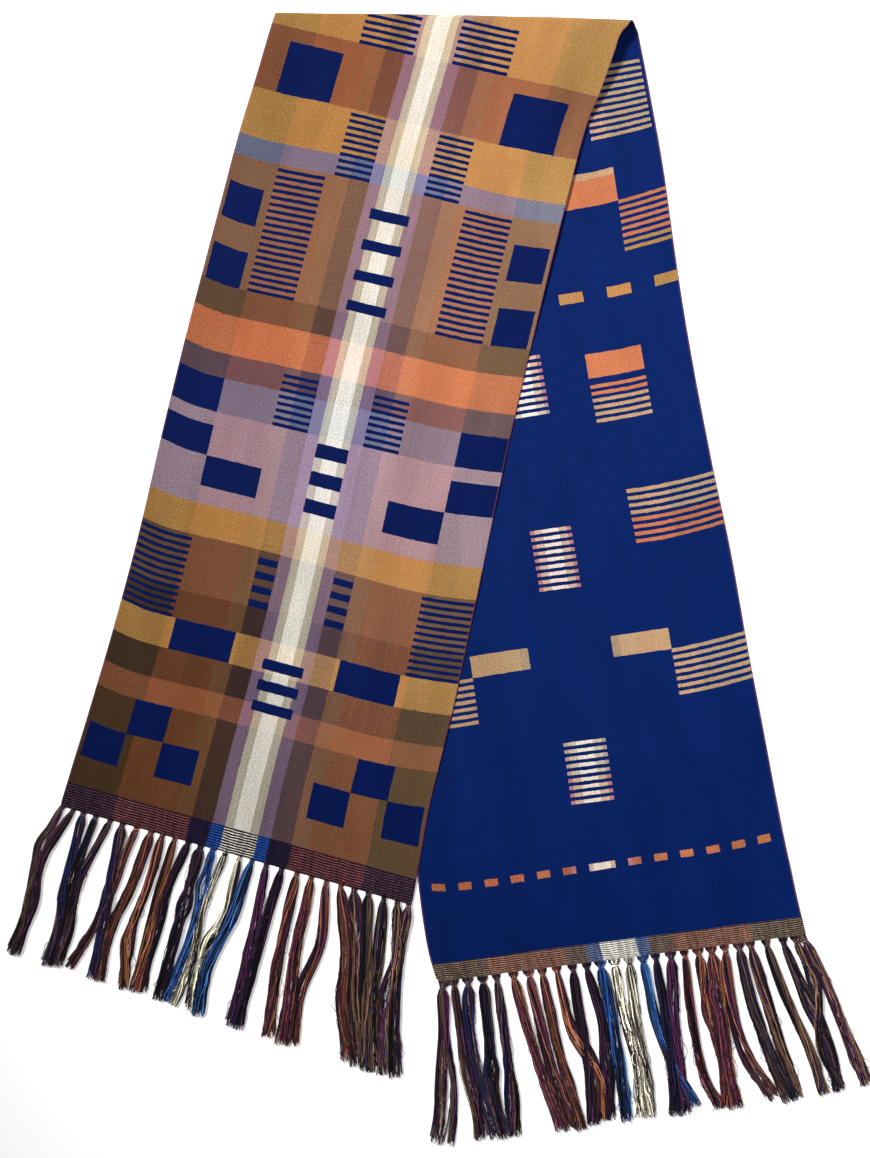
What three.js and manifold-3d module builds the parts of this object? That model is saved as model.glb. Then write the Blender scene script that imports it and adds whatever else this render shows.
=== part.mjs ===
// A long silk scarf, woven double, folded once and lying flat. The upper leaf crosses the lower
// one, and each end has a woven band and a row of 27 knotted tassels.
// Units are millimetres. +Z is up, the floor is z = 0 and +Y runs from the tassels to the fold.
// The origin is on the floor under the middle of the whole scarf.

import * as THREE from "three";
import { mergeVertices } from "three/addons/utils/BufferGeometryUtils.js";
import Module from "manifold-3d";

const wasm = await Module();
wasm.setup();

// ---------- Driving dimensions ----------

const wall = 1.2; // thickness of the doubled cloth
const seam = 0.3; // clearance between neighbouring pieces
const stripDepth = 3; // strip of hem that the tassels hang from
const restHeight = wall + seam; // underside of the upper leaf where it lies on the lower one

// The fold line in plan: its middle, its length and how far it is turned from +X.
const fold = { x: 20.3, y: 573.3, width: 374.2, turn: -1.64 };

// The bend is a half round of this radius, fuller at the right selvedge, and the upper leaf
// comes down from it to rest over `settle` millimetres.
const bend = { radiusLeft: 4.5, radiusRight: 8, settleLeft: 100, settleRight: 150 };

// Each leaf runs from the fold line at `turn` degrees from straight down, for `length`.
// `hemSlant` is how much further its right corner reaches than its left one, from the middle,
// and `bandDepth` is the depth of the woven band above its tassels. `selvedges` gives the two
// edges as distances from the leaf's axis at `down` from the fold.
const upperLeaf = {
  turn: -14.49,
  length: 894.9,
  hemSlant: 3.3,
  bandDepth: 26,
  selvedges: [
    { down: -42, left: -182.4, right: 182.4 },
    { down: -20, left: -182.4, right: 170 },
    { down: 0, left: -182.4, right: 168 },
    { down: 45, left: -182.9, right: 164 },
    { down: 70, left: -184, right: 160 },
    { down: 100, left: -185.3, right: 158.5 },
    { down: 160, left: -188.3, right: 158.6 },
    { down: 250, left: -188.2, right: 159.5 },
    { down: 400, left: -186.4, right: 162.7 },
    { down: 500, left: -183.8, right: 166.8 },
    { down: 600, left: -180.1, right: 171.6 },
    { down: 700, left: -179.5, right: 175.7 },
    { down: 800, left: -181.4, right: 177.1 },
    { down: 850, left: -183.1, right: 180.9 },
    { down: 900, left: -184.6, right: 184.6 },
  ],
};

const lowerLeaf = {
  turn: 9.66,
  length: 984.9,
  hemSlant: 8,
  bandDepth: 21,
  selvedges: [
    { down: -37, left: -183.5, right: 183.5 },
    { down: 37, left: -179, right: 183.5 },
    { down: 100, left: -176, right: 184.1 },
    { down: 200, left: -174, right: 183.6 },
    { down: 300, left: -172, right: 179.4 },
    { down: 400, left: -172, right: 177.6 },
    { down: 500, left: -173, right: 178.3 },
    { down: 600, left: -175, right: 180.9 },
    { down: 700, left: -178, right: 180.5 },
    { down: 800, left: -184, right: 181.1 },
    { down: 880, left: -189.6, right: 181.6 },
    { down: 930, left: -191, right: 183.2 },
    { down: 955, left: -189.6, right: 184.2 },
    { down: 991, left: -184, right: 186.2 },
  ],
};

// Beyond the lower leaf's left edge the upper leaf keeps its height for `margin`, then drops
// to the floor over `ramp`.
const overhang = { margin: 30, ramp: 26 };

// The tassels of each end lie in clumps. A row per clump, left to right: how many tassels it
// holds, how far its middle has shifted along the hem where it gathers, two thirds down and at
// the tips, how wide it is at the tips, and how far it reaches out from the hem.
const locksPerTassel = 3;
const gatherReach = 46;

const upperClumps = [
  { tassels: 2, gather: -11, twoThirds: -8, tip: -9, width: 15, reach: 155 },
  { tassels: 3, gather: -4, twoThirds: -2, tip: -2, width: 21, reach: 157 },
  { tassels: 3, gather: -3, twoThirds: -5, tip: -8, width: 30, reach: 157 },
  { tassels: 3, gather: -4, twoThirds: -1, tip: 1, width: 24, reach: 157 },
  { tassels: 3, gather: -2, twoThirds: -1, tip: -4, width: 22, reach: 159 },
  { tassels: 2, gather: -2, twoThirds: -10, tip: -9, width: 15, reach: 162 },
  { tassels: 2, gather: 1, twoThirds: 4, tip: 4, width: 15, reach: 165 },
  { tassels: 3, gather: 5, twoThirds: 8, tip: 14, width: 24, reach: 168 },
  { tassels: 6, gather: 10, twoThirds: 20, tip: 42, width: 52, reach: 170 },
];

const lowerClumps = [
  { tassels: 1, gather: -6, twoThirds: -10, tip: -20, width: 13, reach: 157 },
  { tassels: 2, gather: -2, twoThirds: 3, tip: 8, width: 16, reach: 157 },
  { tassels: 2, gather: 0, twoThirds: -2, tip: 1, width: 15, reach: 160 },
  { tassels: 3, gather: 6, twoThirds: 13, tip: 21, width: 22, reach: 158 },
  { tassels: 3, gather: 7, twoThirds: 11, tip: 9, width: 24, reach: 158 },
  { tassels: 3, gather: 2, twoThirds: 4, tip: 3, width: 25, reach: 156 },
  { tassels: 3, gather: 1, twoThirds: 3, tip: 9, width: 28, reach: 155 },
  { tassels: 3, gather: 1, twoThirds: 3, tip: 9, width: 22, reach: 159 },
  { tassels: 1, gather: 2, twoThirds: 10, tip: 31, width: 9, reach: 154 },
  { tassels: 2, gather: 8, twoThirds: 15, tip: 29, width: 15, reach: 157 },
  { tassels: 1, gather: 11, twoThirds: 26, tip: 39, width: 9, reach: 156 },
  { tassels: 2, gather: 11, twoThirds: 19, tip: 28, width: 15, reach: 154 },
  { tassels: 1, gather: 13, twoThirds: 26, tip: 38, width: 9, reach: 152 },];

// A tassel's root is a small knot: its sections from inside the strip to where the locks part.
const knotSections = [
  { out: 1.5, width: 8, bottom: 0.25, top: 2 },
  { out: 5, width: 4.4, bottom: 0.3, top: 3.2 },
  { out: 9, width: 6.8, bottom: 0.3, top: 3 },
];
const knotSides = 6;

const lockStart = 6.5; // how far out of the hem a lock begins, inside its knot
const lockPitch = 1.9; // spacing of the locks where they leave the knot
const lockRootWidth = 1.5; // width of a lock inside its knot
const lockSpread = 0.05; // widening of a lock for each millimetre out, up to its full width
const lockFill = 0.8; // share of its pitch that a lock fills
const lockSteps = 5;
const stepCrowding = 1.2; // above 1, a lock's steps are closer near its knot
const tipStagger = 2; // step between the ends of neighbouring locks
const floorGap = 0.3; // clearance of the locks above the floor
const hemInset = 2; // from a corner of the hem to the middle of its first tassel

// Cells of the walls across the cloth and along it. Rows near the bend are this share closer.
const upperCells = { across: 16, along: 36 };
const lowerCells = { across: 12, along: 18 };
const foldCells = { across: 16, around: 10 };
const bandCells = { across: 14, along: 2 };
const stripCells = { across: 14, along: 1 };
const rowCrowding = 0.35;

// ---------- Small helpers ----------

const mix = (a, b, t) => a + (b - a) * t;

// Falls from 1 to 0 as t goes from 0 to 1, level at both ends.
function ease(t) {
  const c = Math.min(Math.max(t, 0), 1);
  return 1 - c * c * (3 - 2 * c);
}

// A smooth value of `column` from a table whose rows are in order of `key`.
function read(rows, key, column, value) {
  const last = rows.length - 1;
  const held = Math.min(Math.max(value, rows[0][key]), rows[last][key]);
  const high = Math.max(1, rows.findIndex((row) => row[key] >= held));
  const slope = (i) => {
    const before = rows[Math.max(i - 1, 0)];
    const after = rows[Math.min(i + 1, last)];
    return (after[column] - before[column]) / (after[key] - before[key]);
  };
  const a = rows[high - 1];
  const b = rows[high];
  const span = b[key] - a[key];
  const t = (held - a[key]) / span;
  const near = (1 + 2 * t) * (1 - t) ** 2;
  const leave = t * (1 - t) ** 2 * span;
  const arrive = t * t * (t - 1) * span;
  return (
    near * a[column] + (1 - near) * b[column] +
    leave * slope(high - 1) + arrive * slope(high)
  );
}

// A unit vector in plan, turned from +X.
function heading(degrees) {
  const angle = THREE.MathUtils.degToRad(degrees);
  return new THREE.Vector2(Math.cos(angle), Math.sin(angle));
}

// ---------- Plan of a leaf ----------

const foldMiddle = new THREE.Vector2(fold.x, fold.y);
const foldAlong = heading(fold.turn);
const foldDown = new THREE.Vector2(foldAlong.y, -foldAlong.x);

// A leaf's axes in plan, and how far down its axis the right end of the fold line lies.
function layOut(leaf) {
  const across = heading(leaf.turn);
  const down = new THREE.Vector2(across.y, -across.x);
  const cornerDown = (fold.width / 2) * foldAlong.dot(down);
  return { ...leaf, across, down, cornerDown };
}

// How far down the leaf's axis the warp at `side` starts and ends. Side runs from -1 to 1.
const warpStart = (leaf, side) => leaf.cornerDown * side;
const warpEnd = (leaf, side) => leaf.length + leaf.hemSlant * side;
const warpLength = (leaf, side) => warpEnd(leaf, side) - warpStart(leaf, side);

// The place in plan at `side` of the leaf, `run` millimetres along the warp from the fold.
function leafPlan(leaf, side, run) {
  const share = run / warpLength(leaf, side);
  const edge = (end, column) => {
    const down = mix(warpStart(leaf, end), warpEnd(leaf, end), share);
    const across = read(leaf.selvedges, "down", column, down);
    return foldMiddle.clone().addScaledVector(leaf.down, down).addScaledVector(leaf.across, across);
  };
  return edge(-1, "left").lerp(edge(1, "right"), (side + 1) / 2);
}

const upper = layOut(upperLeaf);
const lower = layOut(lowerLeaf);

const bendRadius = (side) => mix(bend.radiusLeft, bend.radiusRight, (side + 1) / 2);
const settleRun = (side) => mix(bend.settleLeft, bend.settleRight, (side + 1) / 2);

// Height of the upper leaf's underside where it lies, away from the bend.
function restingHeight(place) {
  const offset = place.clone().sub(foldMiddle);
  const down = offset.dot(lower.down);
  const edge = read(lower.selvedges, "down", "left", down);
  const outside = edge - offset.dot(lower.across);
  return restHeight * ease((outside - overhang.margin) / overhang.ramp);
}

// Height of the upper leaf's underside, from the bend down to its hem.
function upperHeight(side, run, place) {
  const radius = bendRadius(side);
  const resting = restingHeight(place);
  const fall = ease((run - radius) / (settleRun(side) - radius));
  return resting + (2 * radius - resting) * fall;
}

const lowerHeight = () => 0;

// ---------- Walls ----------

// A closed wall over a grid. pairAt(row, column) gives its inner and its outer point, with rows
// running down the cloth and columns from left to right.
function wallGeometry(rows, columns, pairAt) {
  const positions = [];
  for (let row = 0; row <= rows; row++)
    for (let column = 0; column <= columns; column++)
      for (const point of pairAt(row, column)) positions.push(point.x, point.y, point.z);

  const indices = [];
  const quad = (a, b, c, d) => indices.push(a, b, c, a, c, d);
  const inner = (row, column) => 2 * (row * (columns + 1) + column);
  const outer = (row, column) => inner(row, column) + 1;

  for (let row = 0; row < rows; row++)
    for (let column = 0; column < columns; column++) {
      const next = column + 1;
      quad(outer(row, column), outer(row + 1, column), outer(row + 1, next), outer(row, next));
      quad(inner(row, next), inner(row + 1, next), inner(row + 1, column), inner(row, column));
    }
  for (let row = 0; row < rows; row++) {
    quad(inner(row, 0), inner(row + 1, 0), outer(row + 1, 0), outer(row, 0));
    quad(outer(row, columns), outer(row + 1, columns), inner(row + 1, columns), inner(row, columns));
  }
  for (let column = 0; column < columns; column++) {
    const next = column + 1;
    quad(outer(0, column), outer(0, next), inner(0, next), inner(0, column));
    quad(inner(rows, column), inner(rows, next), outer(rows, next), outer(rows, column));
  }

  const geometry = new THREE.BufferGeometry();
  geometry.setAttribute("position", new THREE.Float32BufferAttribute(positions, 3));
  geometry.setIndex(indices);
  return geometry;
}

// A stretch of a leaf. runAt(side, share) is the distance from the fold at each share of it.
function leafStretch(leaf, heightAt, cells, runAt) {
  return wallGeometry(cells.along, cells.across, (row, column) => {
    const side = mix(-1, 1, column / cells.across);
    const run = runAt(side, row / cells.along);
    const place = leafPlan(leaf, side, run);
    const height = heightAt(side, run, place);
    return [
      new THREE.Vector3(place.x, place.y, height),
      new THREE.Vector3(place.x, place.y, height + wall),
    ];
  });
}

// The body of a leaf, from the bend to its band, with closer rows near the bend.
function leafBody(leaf, heightAt, cells) {
  return leafStretch(leaf, heightAt, cells, (side, share) => {
    const start = bendRadius(side) + seam;
    const end = warpLength(leaf, side) - leaf.bandDepth - seam;
    return mix(start, end, share * (1 - rowCrowding * (1 - share)));
  });
}

function leafBand(leaf, heightAt) {
  return leafStretch(leaf, heightAt, bandCells, (side, share) => {
    const end = warpLength(leaf, side);
    return mix(end - leaf.bandDepth, end, share);
  });
}

// The bend: a half round from the lower leaf, out past the fold line and over to the upper leaf.
function foldBend() {
  return wallGeometry(foldCells.around, foldCells.across, (row, column) => {
    const side = mix(-1, 1, column / foldCells.across);
    const share = row / foldCells.around;
    const angle = Math.PI * share;
    const radius = bendRadius(side);
    const middle = leafPlan(lower, side, radius)
      .lerp(leafPlan(upper, side, radius), share)
      .addScaledVector(foldDown, -radius * Math.sin(angle));
    const centre = new THREE.Vector3(middle.x, middle.y, wall / 2 + radius * (1 - Math.cos(angle)));
    const outward = new THREE.Vector3(
      -foldDown.x * Math.sin(angle),
      -foldDown.y * Math.sin(angle),
      -Math.cos(angle),
    );
    return [
      centre.clone().addScaledVector(outward, -wall / 2),
      centre.clone().addScaledVector(outward, wall / 2),
    ];
  });
}

// ---------- Fringes ----------

const solidOf = (geometry) =>
  new wasm.Manifold(
    new wasm.Mesh({
      numProp: 3,
      vertProperties: geometry.getAttribute("position").array,
      triVerts: new Uint32Array(geometry.index.array),
    }),
  );

function geometryOf(solid) {
  const mesh = solid.getMesh();
  const geometry = new THREE.BufferGeometry();
  geometry.setAttribute("position", new THREE.BufferAttribute(mesh.vertProperties, 3));
  geometry.setIndex(new THREE.BufferAttribute(mesh.triVerts, 1));
  return mergeVertices(geometry, 1e-3);
}

// A closed solid through rings of points that all turn the same way, capped at both ends.
function loftGeometry(rings) {
  const sides = rings[0].length;
  const positions = rings.flat().flatMap((point) => [point.x, point.y, point.z]);
  const indices = [];
  for (let ring = 0; ring < rings.length - 1; ring++)
    for (let i = 0; i < sides; i++) {
      const j = (i + 1) % sides;
      const [a, b] = [ring * sides + i, ring * sides + j];
      indices.push(a, b, b + sides, a, b + sides, a + sides);
    }
  const end = (rings.length - 1) * sides;
  for (let i = 1; i < sides - 1; i++) indices.push(0, i + 1, i, end, end + i, end + i + 1);
  const geometry = new THREE.BufferGeometry();
  geometry.setAttribute("position", new THREE.Float32BufferAttribute(positions, 3));
  geometry.setIndex(indices);
  return geometry;
}

// Places near a hem are told by how far they are along it from its left corner and how far out.
function hemFrame(leaf) {
  const left = leafPlan(leaf, -1, warpLength(leaf, -1));
  const right = leafPlan(leaf, 1, warpLength(leaf, 1));
  const along = right.clone().sub(left).normalize();
  const out = new THREE.Vector2(along.y, -along.x);
  const width = right.distanceTo(left);
  const plan = (s, o) => left.clone().addScaledVector(along, s).addScaledVector(out, o);
  const at = (s, o, z) => {
    const place = plan(s, o);
    return new THREE.Vector3(place.x, place.y, z);
  };
  return { at, plan, width };
}

function knot(hem, root, base) {
  const rings = knotSections.map(({ out, width, bottom, top }) =>
    Array.from({ length: knotSides }, (_, i) => {
      const angle = (2 * Math.PI * i) / knotSides;
      const high = mix(bottom, top, (1 + Math.sin(angle)) / 2);
      return hem.at(root + (width / 2) * Math.cos(angle), out, base + high);
    }),
  );
  return loftGeometry(rings);
}

// One lock: a triangular bar that lies on its flat side. middleAt(out) is its middle along the
// hem, and its tip ends at `end`, a little short of its clump's reach.
function lock(hem, middleAt, width, reach, end, base) {
  const rings = Array.from({ length: lockSteps + 1 }, (_, step) => {
    const share = step / lockSteps;
    const out = step < lockSteps ? mix(lockStart, reach, share ** stepCrowding) : end;
    const middle = middleAt(out);
    const half = Math.min(width, lockRootWidth + (out - lockStart) * lockSpread) / 2;
    const low = mix(floorGap, base + 2 * floorGap, ease(3 * share));
    return [
      hem.at(middle + half, out, low),
      hem.at(middle, out, low + 2 * half),
      hem.at(middle - half, out, low),
    ];
  });
  return loftGeometry(rings);
}

// The locks of a clump leave their knots side by side, gather, and run on in parallel.
function clumpLocks(hem, clump, roots, baseAt) {
  const locks = roots.length * locksPerTassel;
  const pitch = clump.width / locks;
  const middle = (roots[0] + roots[roots.length - 1]) / 2;
  const course = [
    { out: lockStart, shift: 0 },
    { out: gatherReach, shift: clump.gather },
    { out: (2 / 3) * clump.reach, shift: clump.twoThirds },
    { out: clump.reach, shift: clump.tip },
  ];
  return Array.from({ length: locks }, (_, i) => {
    const inTassel = (i % locksPerTassel) - (locksPerTassel - 1) / 2;
    const root = roots[Math.floor(i / locksPerTassel)];
    const parted = root + inTassel * lockPitch - middle;
    const gathered = (i - (locks - 1) / 2) * pitch;
    const middleAt = (out) => {
      const apart = ease((out - lockStart) / (gatherReach - lockStart));
      return middle + read(course, "out", "shift", out) + mix(gathered, parted, apart);
    };
    const end = clump.reach - tipStagger * ((i * 2) % 3);
    return lock(hem, middleAt, pitch * lockFill, clump.reach, end, baseAt(root));
  });
}

function fringe(leaf, heightAt, clumps) {
  const hem = hemFrame(leaf);
  const strip = leafStretch(leaf, heightAt, stripCells, (side, share) => {
    const start = warpLength(leaf, side) + seam;
    return mix(start, start + stripDepth, share);
  });
  const tassels = clumps.reduce((sum, clump) => sum + clump.tassels, 0);
  const pitch = (hem.width - 2 * hemInset) / (tassels - 1);
  const baseAt = (root) => heightAt(0, warpLength(leaf, 0), hem.plan(root, 0));
  const pieces = [strip];
  let first = 0;
  for (const clump of clumps) {
    const roots = Array.from({ length: clump.tassels }, (_, i) => hemInset + pitch * (first + i));
    pieces.push(...roots.map((root) => knot(hem, root, baseAt(root))));
    pieces.push(...clumpLocks(hem, clump, roots, baseAt));
    first += clump.tassels;
  }
  return geometryOf(wasm.Manifold.union(pieces.map(solidOf)));
}

// ---------- The scarf ----------

const manyColoured = { color: 0x7a4a2a, roughness: 0.6, metalness: 0 };
const navy = { color: 0x142a63, roughness: 0.6, metalness: 0 };
const bandBrown = { color: 0x4a2e2c, roughness: 0.75, metalness: 0 };
const fringeBrown = { color: 0x3a2028, roughness: 0.6, metalness: 0 };

const scarf = new THREE.Group();

function add(name, geometry, finish) {
  geometry.computeVertexNormals();
  const mesh = new THREE.Mesh(geometry, new THREE.MeshStandardMaterial(finish));
  mesh.name = name;
  scarf.add(mesh);
}

add("cloth_front", leafBody(upper, upperHeight, upperCells), manyColoured);
add("cloth_fold", foldBend(), manyColoured);
add("cloth_back", leafBody(lower, lowerHeight, lowerCells), navy);
add("band_front", leafBand(upper, upperHeight), bandBrown);
add("band_back", leafBand(lower, lowerHeight), bandBrown);
add("fringe_front", fringe(upper, upperHeight, upperClumps), fringeBrown);
add("fringe_back", fringe(lower, lowerHeight, lowerClumps), fringeBrown);

export default scarf;
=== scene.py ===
# %% [markdown]
# # A silk scarf, folded once and laid flat
#
# The scarf is one length of hand-woven double cloth: a many-coloured layer and a navy layer,
# woven together, that change places wherever the pattern asks for it. It is folded once, so
# that the many-coloured face shows on the upper leaf and the navy reverse on the lower one.
# Each end has a ribbed band and 27 knotted tassels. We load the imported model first. It gives
# every piece its place, and the rest of this lesson dresses it.

# %% Load the frame
import math

import bpy
import numpy as np
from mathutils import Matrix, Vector


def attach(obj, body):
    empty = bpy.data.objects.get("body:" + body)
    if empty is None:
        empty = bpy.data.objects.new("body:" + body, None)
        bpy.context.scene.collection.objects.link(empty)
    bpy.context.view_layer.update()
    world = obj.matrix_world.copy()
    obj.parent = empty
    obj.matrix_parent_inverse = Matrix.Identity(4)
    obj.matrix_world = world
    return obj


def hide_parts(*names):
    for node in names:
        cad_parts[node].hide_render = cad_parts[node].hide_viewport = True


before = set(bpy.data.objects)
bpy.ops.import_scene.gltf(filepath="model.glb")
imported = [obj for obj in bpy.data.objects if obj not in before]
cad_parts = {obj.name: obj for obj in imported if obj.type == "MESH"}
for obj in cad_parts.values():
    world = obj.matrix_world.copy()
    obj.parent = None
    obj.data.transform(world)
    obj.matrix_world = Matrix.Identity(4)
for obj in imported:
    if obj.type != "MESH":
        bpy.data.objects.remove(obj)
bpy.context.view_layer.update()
MM = 0.001  # Blender works in metres, and the sizes below are in millimetres
print("nodes:", sorted(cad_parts))

# %% [markdown]
# ## The plan of the two leaves
#
# A scarf laid out by hand keeps its own slightly crooked edges. Blender's cloth simulation could
# drape it, but it would not give those edges back. So the two leaves follow the same plan as the
# solids: each runs straight down from the fold line, at its own angle, between two selvedges
# that are read from a short table.

# %% Sizes of the cloth
WALL = 1.2  # the solid's wall, which the thinner silk lies inside
THICKNESS = 1.0
REST_HEIGHT = 1.5  # underside of the upper leaf where it lies on the lower one
HALF_WIDTH = 175  # of the cloth in the loom, from its middle to a selvedge

# The fold line: its middle, its width, and its turn in degrees.
FOLD = {"x": 20.3, "y": 573.3, "width": 374.2, "turn": -1.64}
# The bend's radius, and how far down the upper leaf comes to rest, at the left and right ends.
BEND = {"radius": (4.5, 8), "settle": (100, 150)}
# Past the lower leaf's edge the upper one stays up for the margin, then sinks over the ramp.
OVERHANG = {"margin": 30, "ramp": 26}

# A row gives how far down from the fold, and how far left and right of the leaf's axis.
UPPER_SELVEDGES = [
    (-42, -182.4, 182.4),
    (-20, -182.4, 170),
    (0, -182.4, 168),
    (45, -182.9, 164),
    (70, -184, 160),
    (100, -185.3, 158.5),
    (160, -188.3, 158.6),
    (250, -188.2, 159.5),
    (400, -186.4, 162.7),
    (500, -183.8, 166.8),
    (600, -180.1, 171.6),
    (700, -179.5, 175.7),
    (800, -181.4, 177.1),
    (850, -183.1, 180.9),
    (900, -184.6, 184.6),
]
LOWER_SELVEDGES = [
    (-37, -183.5, 183.5),
    (37, -179, 183.5),
    (100, -176, 184.1),
    (200, -174, 183.6),
    (300, -172, 179.4),
    (400, -172, 177.6),
    (500, -173, 178.3),
    (600, -175, 180.9),
    (700, -178, 180.5),
    (800, -184, 181.1),
    (880, -189.6, 181.6),
    (930, -191, 183.2),
    (955, -189.6, 184.2),
    (991, -184, 186.2),
]
print(f"cloth {2 * HALF_WIDTH} mm wide, folded over {FOLD['width']} mm")


# %% Helpers for smooth shapes
def mix(a, b, t):
    return a + (b - a) * t


def ease(t):
    """Falls from 1 to 0 as t goes from 0 to 1, level at both ends."""
    c = np.clip(t, 0, 1)
    return 1 - c * c * (3 - 2 * c)


def smooth_read(keys, values, at):
    """A smooth curve through the values at the keys, held level past its ends."""
    keys = np.asarray(keys, float)
    values = np.asarray(values, float)
    before = np.maximum(np.arange(len(keys)) - 1, 0)
    after = np.minimum(np.arange(len(keys)) + 1, len(keys) - 1)
    slopes = (values[after] - values[before]) / (keys[after] - keys[before])
    held = np.clip(at, keys[0], keys[-1])
    high = np.clip(np.searchsorted(keys, held), 1, len(keys) - 1)
    low = high - 1
    span = keys[high] - keys[low]
    t = (held - keys[low]) / span
    near = (1 + 2 * t) * (1 - t) ** 2
    leave = t * (1 - t) ** 2 * span * slopes[low]
    arrive = t * t * (t - 1) * span * slopes[high]
    return near * values[low] + (1 - near) * values[high] + leave + arrive


def heading(degrees):
    angle = math.radians(degrees)
    return np.array([math.cos(angle), math.sin(angle)])


def turned_down(along):
    """The direction a quarter turn clockwise from along, in plan."""
    return np.array([along[1], -along[0]])


print("half way down, ease gives", float(ease(0.5)))

# %% The leaves in plan
TURNS_SHORT = 3.6  # the thin silk turns back this far short of the solid's fold line
FLARE_END = 90  # down from the fold, where the edges stop flaring out to the fold's corners
FLARE_POWER = 4  # above 1, the flare stays near the selvedge and the inner stripes run straight
MIDDLE_SIDE = np.zeros(1)  # the side of the cloth's middle thread

fold_middle = np.array([FOLD["x"], FOLD["y"]])
fold_along = heading(FOLD["turn"])
fold_down = turned_down(fold_along)


def lay_out(turn, length, hem_slant, band_depth, selvedges):
    """A leaf turned by some degrees. Its hem slants down by hem_slant from middle to right."""
    across = heading(turn)
    down = turned_down(across)
    return {
        "across": across,
        "down": down,
        "length": length,
        "hem_slant": hem_slant,
        "band": band_depth,
        "corner_down": FOLD["width"] / 2 * float(fold_along @ down),
        "edges": np.array(selvedges, float).T,
    }


upper_leaf = lay_out(-14.49, 894.9, 3.3, 26, UPPER_SELVEDGES)
lower_leaf = lay_out(9.66, 984.9, 8, 21, LOWER_SELVEDGES)


def warp_length(leaf, side):
    """From the turn of the silk to the hem. Side is -1 at the left selvedge, 1 at the right."""
    return leaf["length"] + (leaf["hem_slant"] - leaf["corner_down"]) * side - TURNS_SHORT


def leaf_place(leaf, side, run):
    """The place in plan at side of the leaf, run millimetres along the warp from its turn."""
    share = (run + TURNS_SHORT) / (warp_length(leaf, side) + TURNS_SHORT)
    downs, left_edge, right_edge = leaf["edges"]
    place = 0
    for end, edge in ((-1, left_edge), (1, right_edge)):
        start_down = leaf["corner_down"] * end
        end_down = leaf["length"] + leaf["hem_slant"] * end
        down = mix(start_down, end_down, share)
        across = smooth_read(downs, edge, down)
        straight = smooth_read(downs, edge, np.maximum(down, FLARE_END))
        near = (1 + end * side) / 2
        axis = fold_middle + down[..., None] * leaf["down"] + straight[..., None] * leaf["across"]
        flare = (across - straight) * near**FLARE_POWER
        place = place + near[..., None] * axis + flare[..., None] * leaf["across"]
    return place


upper_length = warp_length(upper_leaf, 0)
lower_length = warp_length(lower_leaf, 0)
print(f"upper leaf {upper_length:.1f} mm, lower leaf {lower_length:.1f} mm")


# %% The height of the upper leaf
def between_ends(ends, side):
    """A value given for the left and right ends of the fold, at any side."""
    return mix(ends[0], ends[1], (side + 1) / 2)


def bend_radius(side):
    return between_ends(BEND["radius"], side)


def upper_height(side, run, place):
    """Height of the upper leaf's underside, from the bend down to its hem."""
    offset = place - fold_middle
    downs, left_edge = lower_leaf["edges"][:2]
    edge = smooth_read(downs, left_edge, offset @ lower_leaf["down"])
    outside = edge - offset @ lower_leaf["across"]
    resting = REST_HEIGHT * ease((outside - OVERHANG["margin"]) / OVERHANG["ramp"])
    radius = bend_radius(side)
    settle = between_ends(BEND["settle"], side)
    return resting + (2 * radius - resting) * ease((run - radius) / (settle - radius))


heights = [2 * bend_radius(side) for side in (-1, 1)]
print("the bend is", heights[0], "mm high at its left end and", heights[1], "mm at its right end")

# %% [markdown]
# ## The cloth as one sheet
#
# The scarf is a single length of silk, so one mesh makes both leaves and the fold. Two flat
# meshes and a bent strip between them would be simpler, but would show a seam. A point of the
# cloth is told by its side, from one selvedge to the other, and by how far it lies along the
# warp from the upper leaf's band. That distance runs up the upper leaf, round the bend and down
# the lower leaf, so one formula places the whole sheet.


# %% Where a point of the cloth lies
def cloth_length(side):
    """From one band to the other, round the bend."""
    leaves = (upper_leaf, lower_leaf)
    flat = sum(warp_length(leaf, side) - leaf["band"] for leaf in leaves)
    return flat + (math.pi - 2) * bend_radius(side)


def before_bend(side):
    """How far from the upper band the bend begins."""
    return warp_length(upper_leaf, side) - upper_leaf["band"] - bend_radius(side)


def cloth_middle(side, travel):
    """The middle of the cloth's thickness, travel millimetres from the upper band."""
    radius = bend_radius(side)
    past = travel - before_bend(side)
    turn = np.clip(math.pi - past / radius, 0, math.pi)
    upper_run = np.maximum(radius - past, radius)
    lower_run = np.maximum(past - math.pi * radius + radius, radius)
    upper_place = leaf_place(upper_leaf, side, upper_run)
    lower_place = leaf_place(lower_leaf, side, lower_run)
    on_upper = (turn >= math.pi)[..., None]
    on_lower = (turn <= 0)[..., None]
    in_bend = mix(lower_place, upper_place, (turn / math.pi)[..., None])
    in_bend = in_bend - (radius * np.sin(turn))[..., None] * fold_down
    place = np.where(on_upper, upper_place, np.where(on_lower, lower_place, in_bend))
    high = upper_height(side, upper_run, upper_place)
    height = np.where(turn >= math.pi, high, radius * (1 - np.cos(turn)))
    return np.concatenate([place, (WALL / 2 + height)[..., None]], axis=-1)


total = float(cloth_length(MIDDLE_SIDE)[0])
fold_travel = float(before_bend(MIDDLE_SIDE)[0])
print(f"the cloth is {total:.1f} mm long between its bands and folds at {fold_travel:.1f} mm")

# %% [markdown]
# ## The bow of the weft and the cloth's gentle unevenness
#
# Weft threads are never quite straight in hand weaving: towards the right selvedge these bow up
# to the fold. A folded scarf also keeps a few soft creases. Sculpting them would leave no sizes
# to read or change, and plain noise would put them anywhere. So each crease is a row in a table,
# and a few long, low waves lie between them.

# %% How the weft bows
# The rise at the right selvedge, the side that it starts from, and how it steepens.
BOW = {"rise": 7.5, "from_side": 0.55, "power": 1.6}
# The left selvedge bows by a share of that, and the weft dips just inside it.
LEFT_BOW = {"share": 0.55, "from_side": 0.82, "power": 1.5}
DIP = {"share": 0.25, "side": -0.75, "spread": 0.3}
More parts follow.
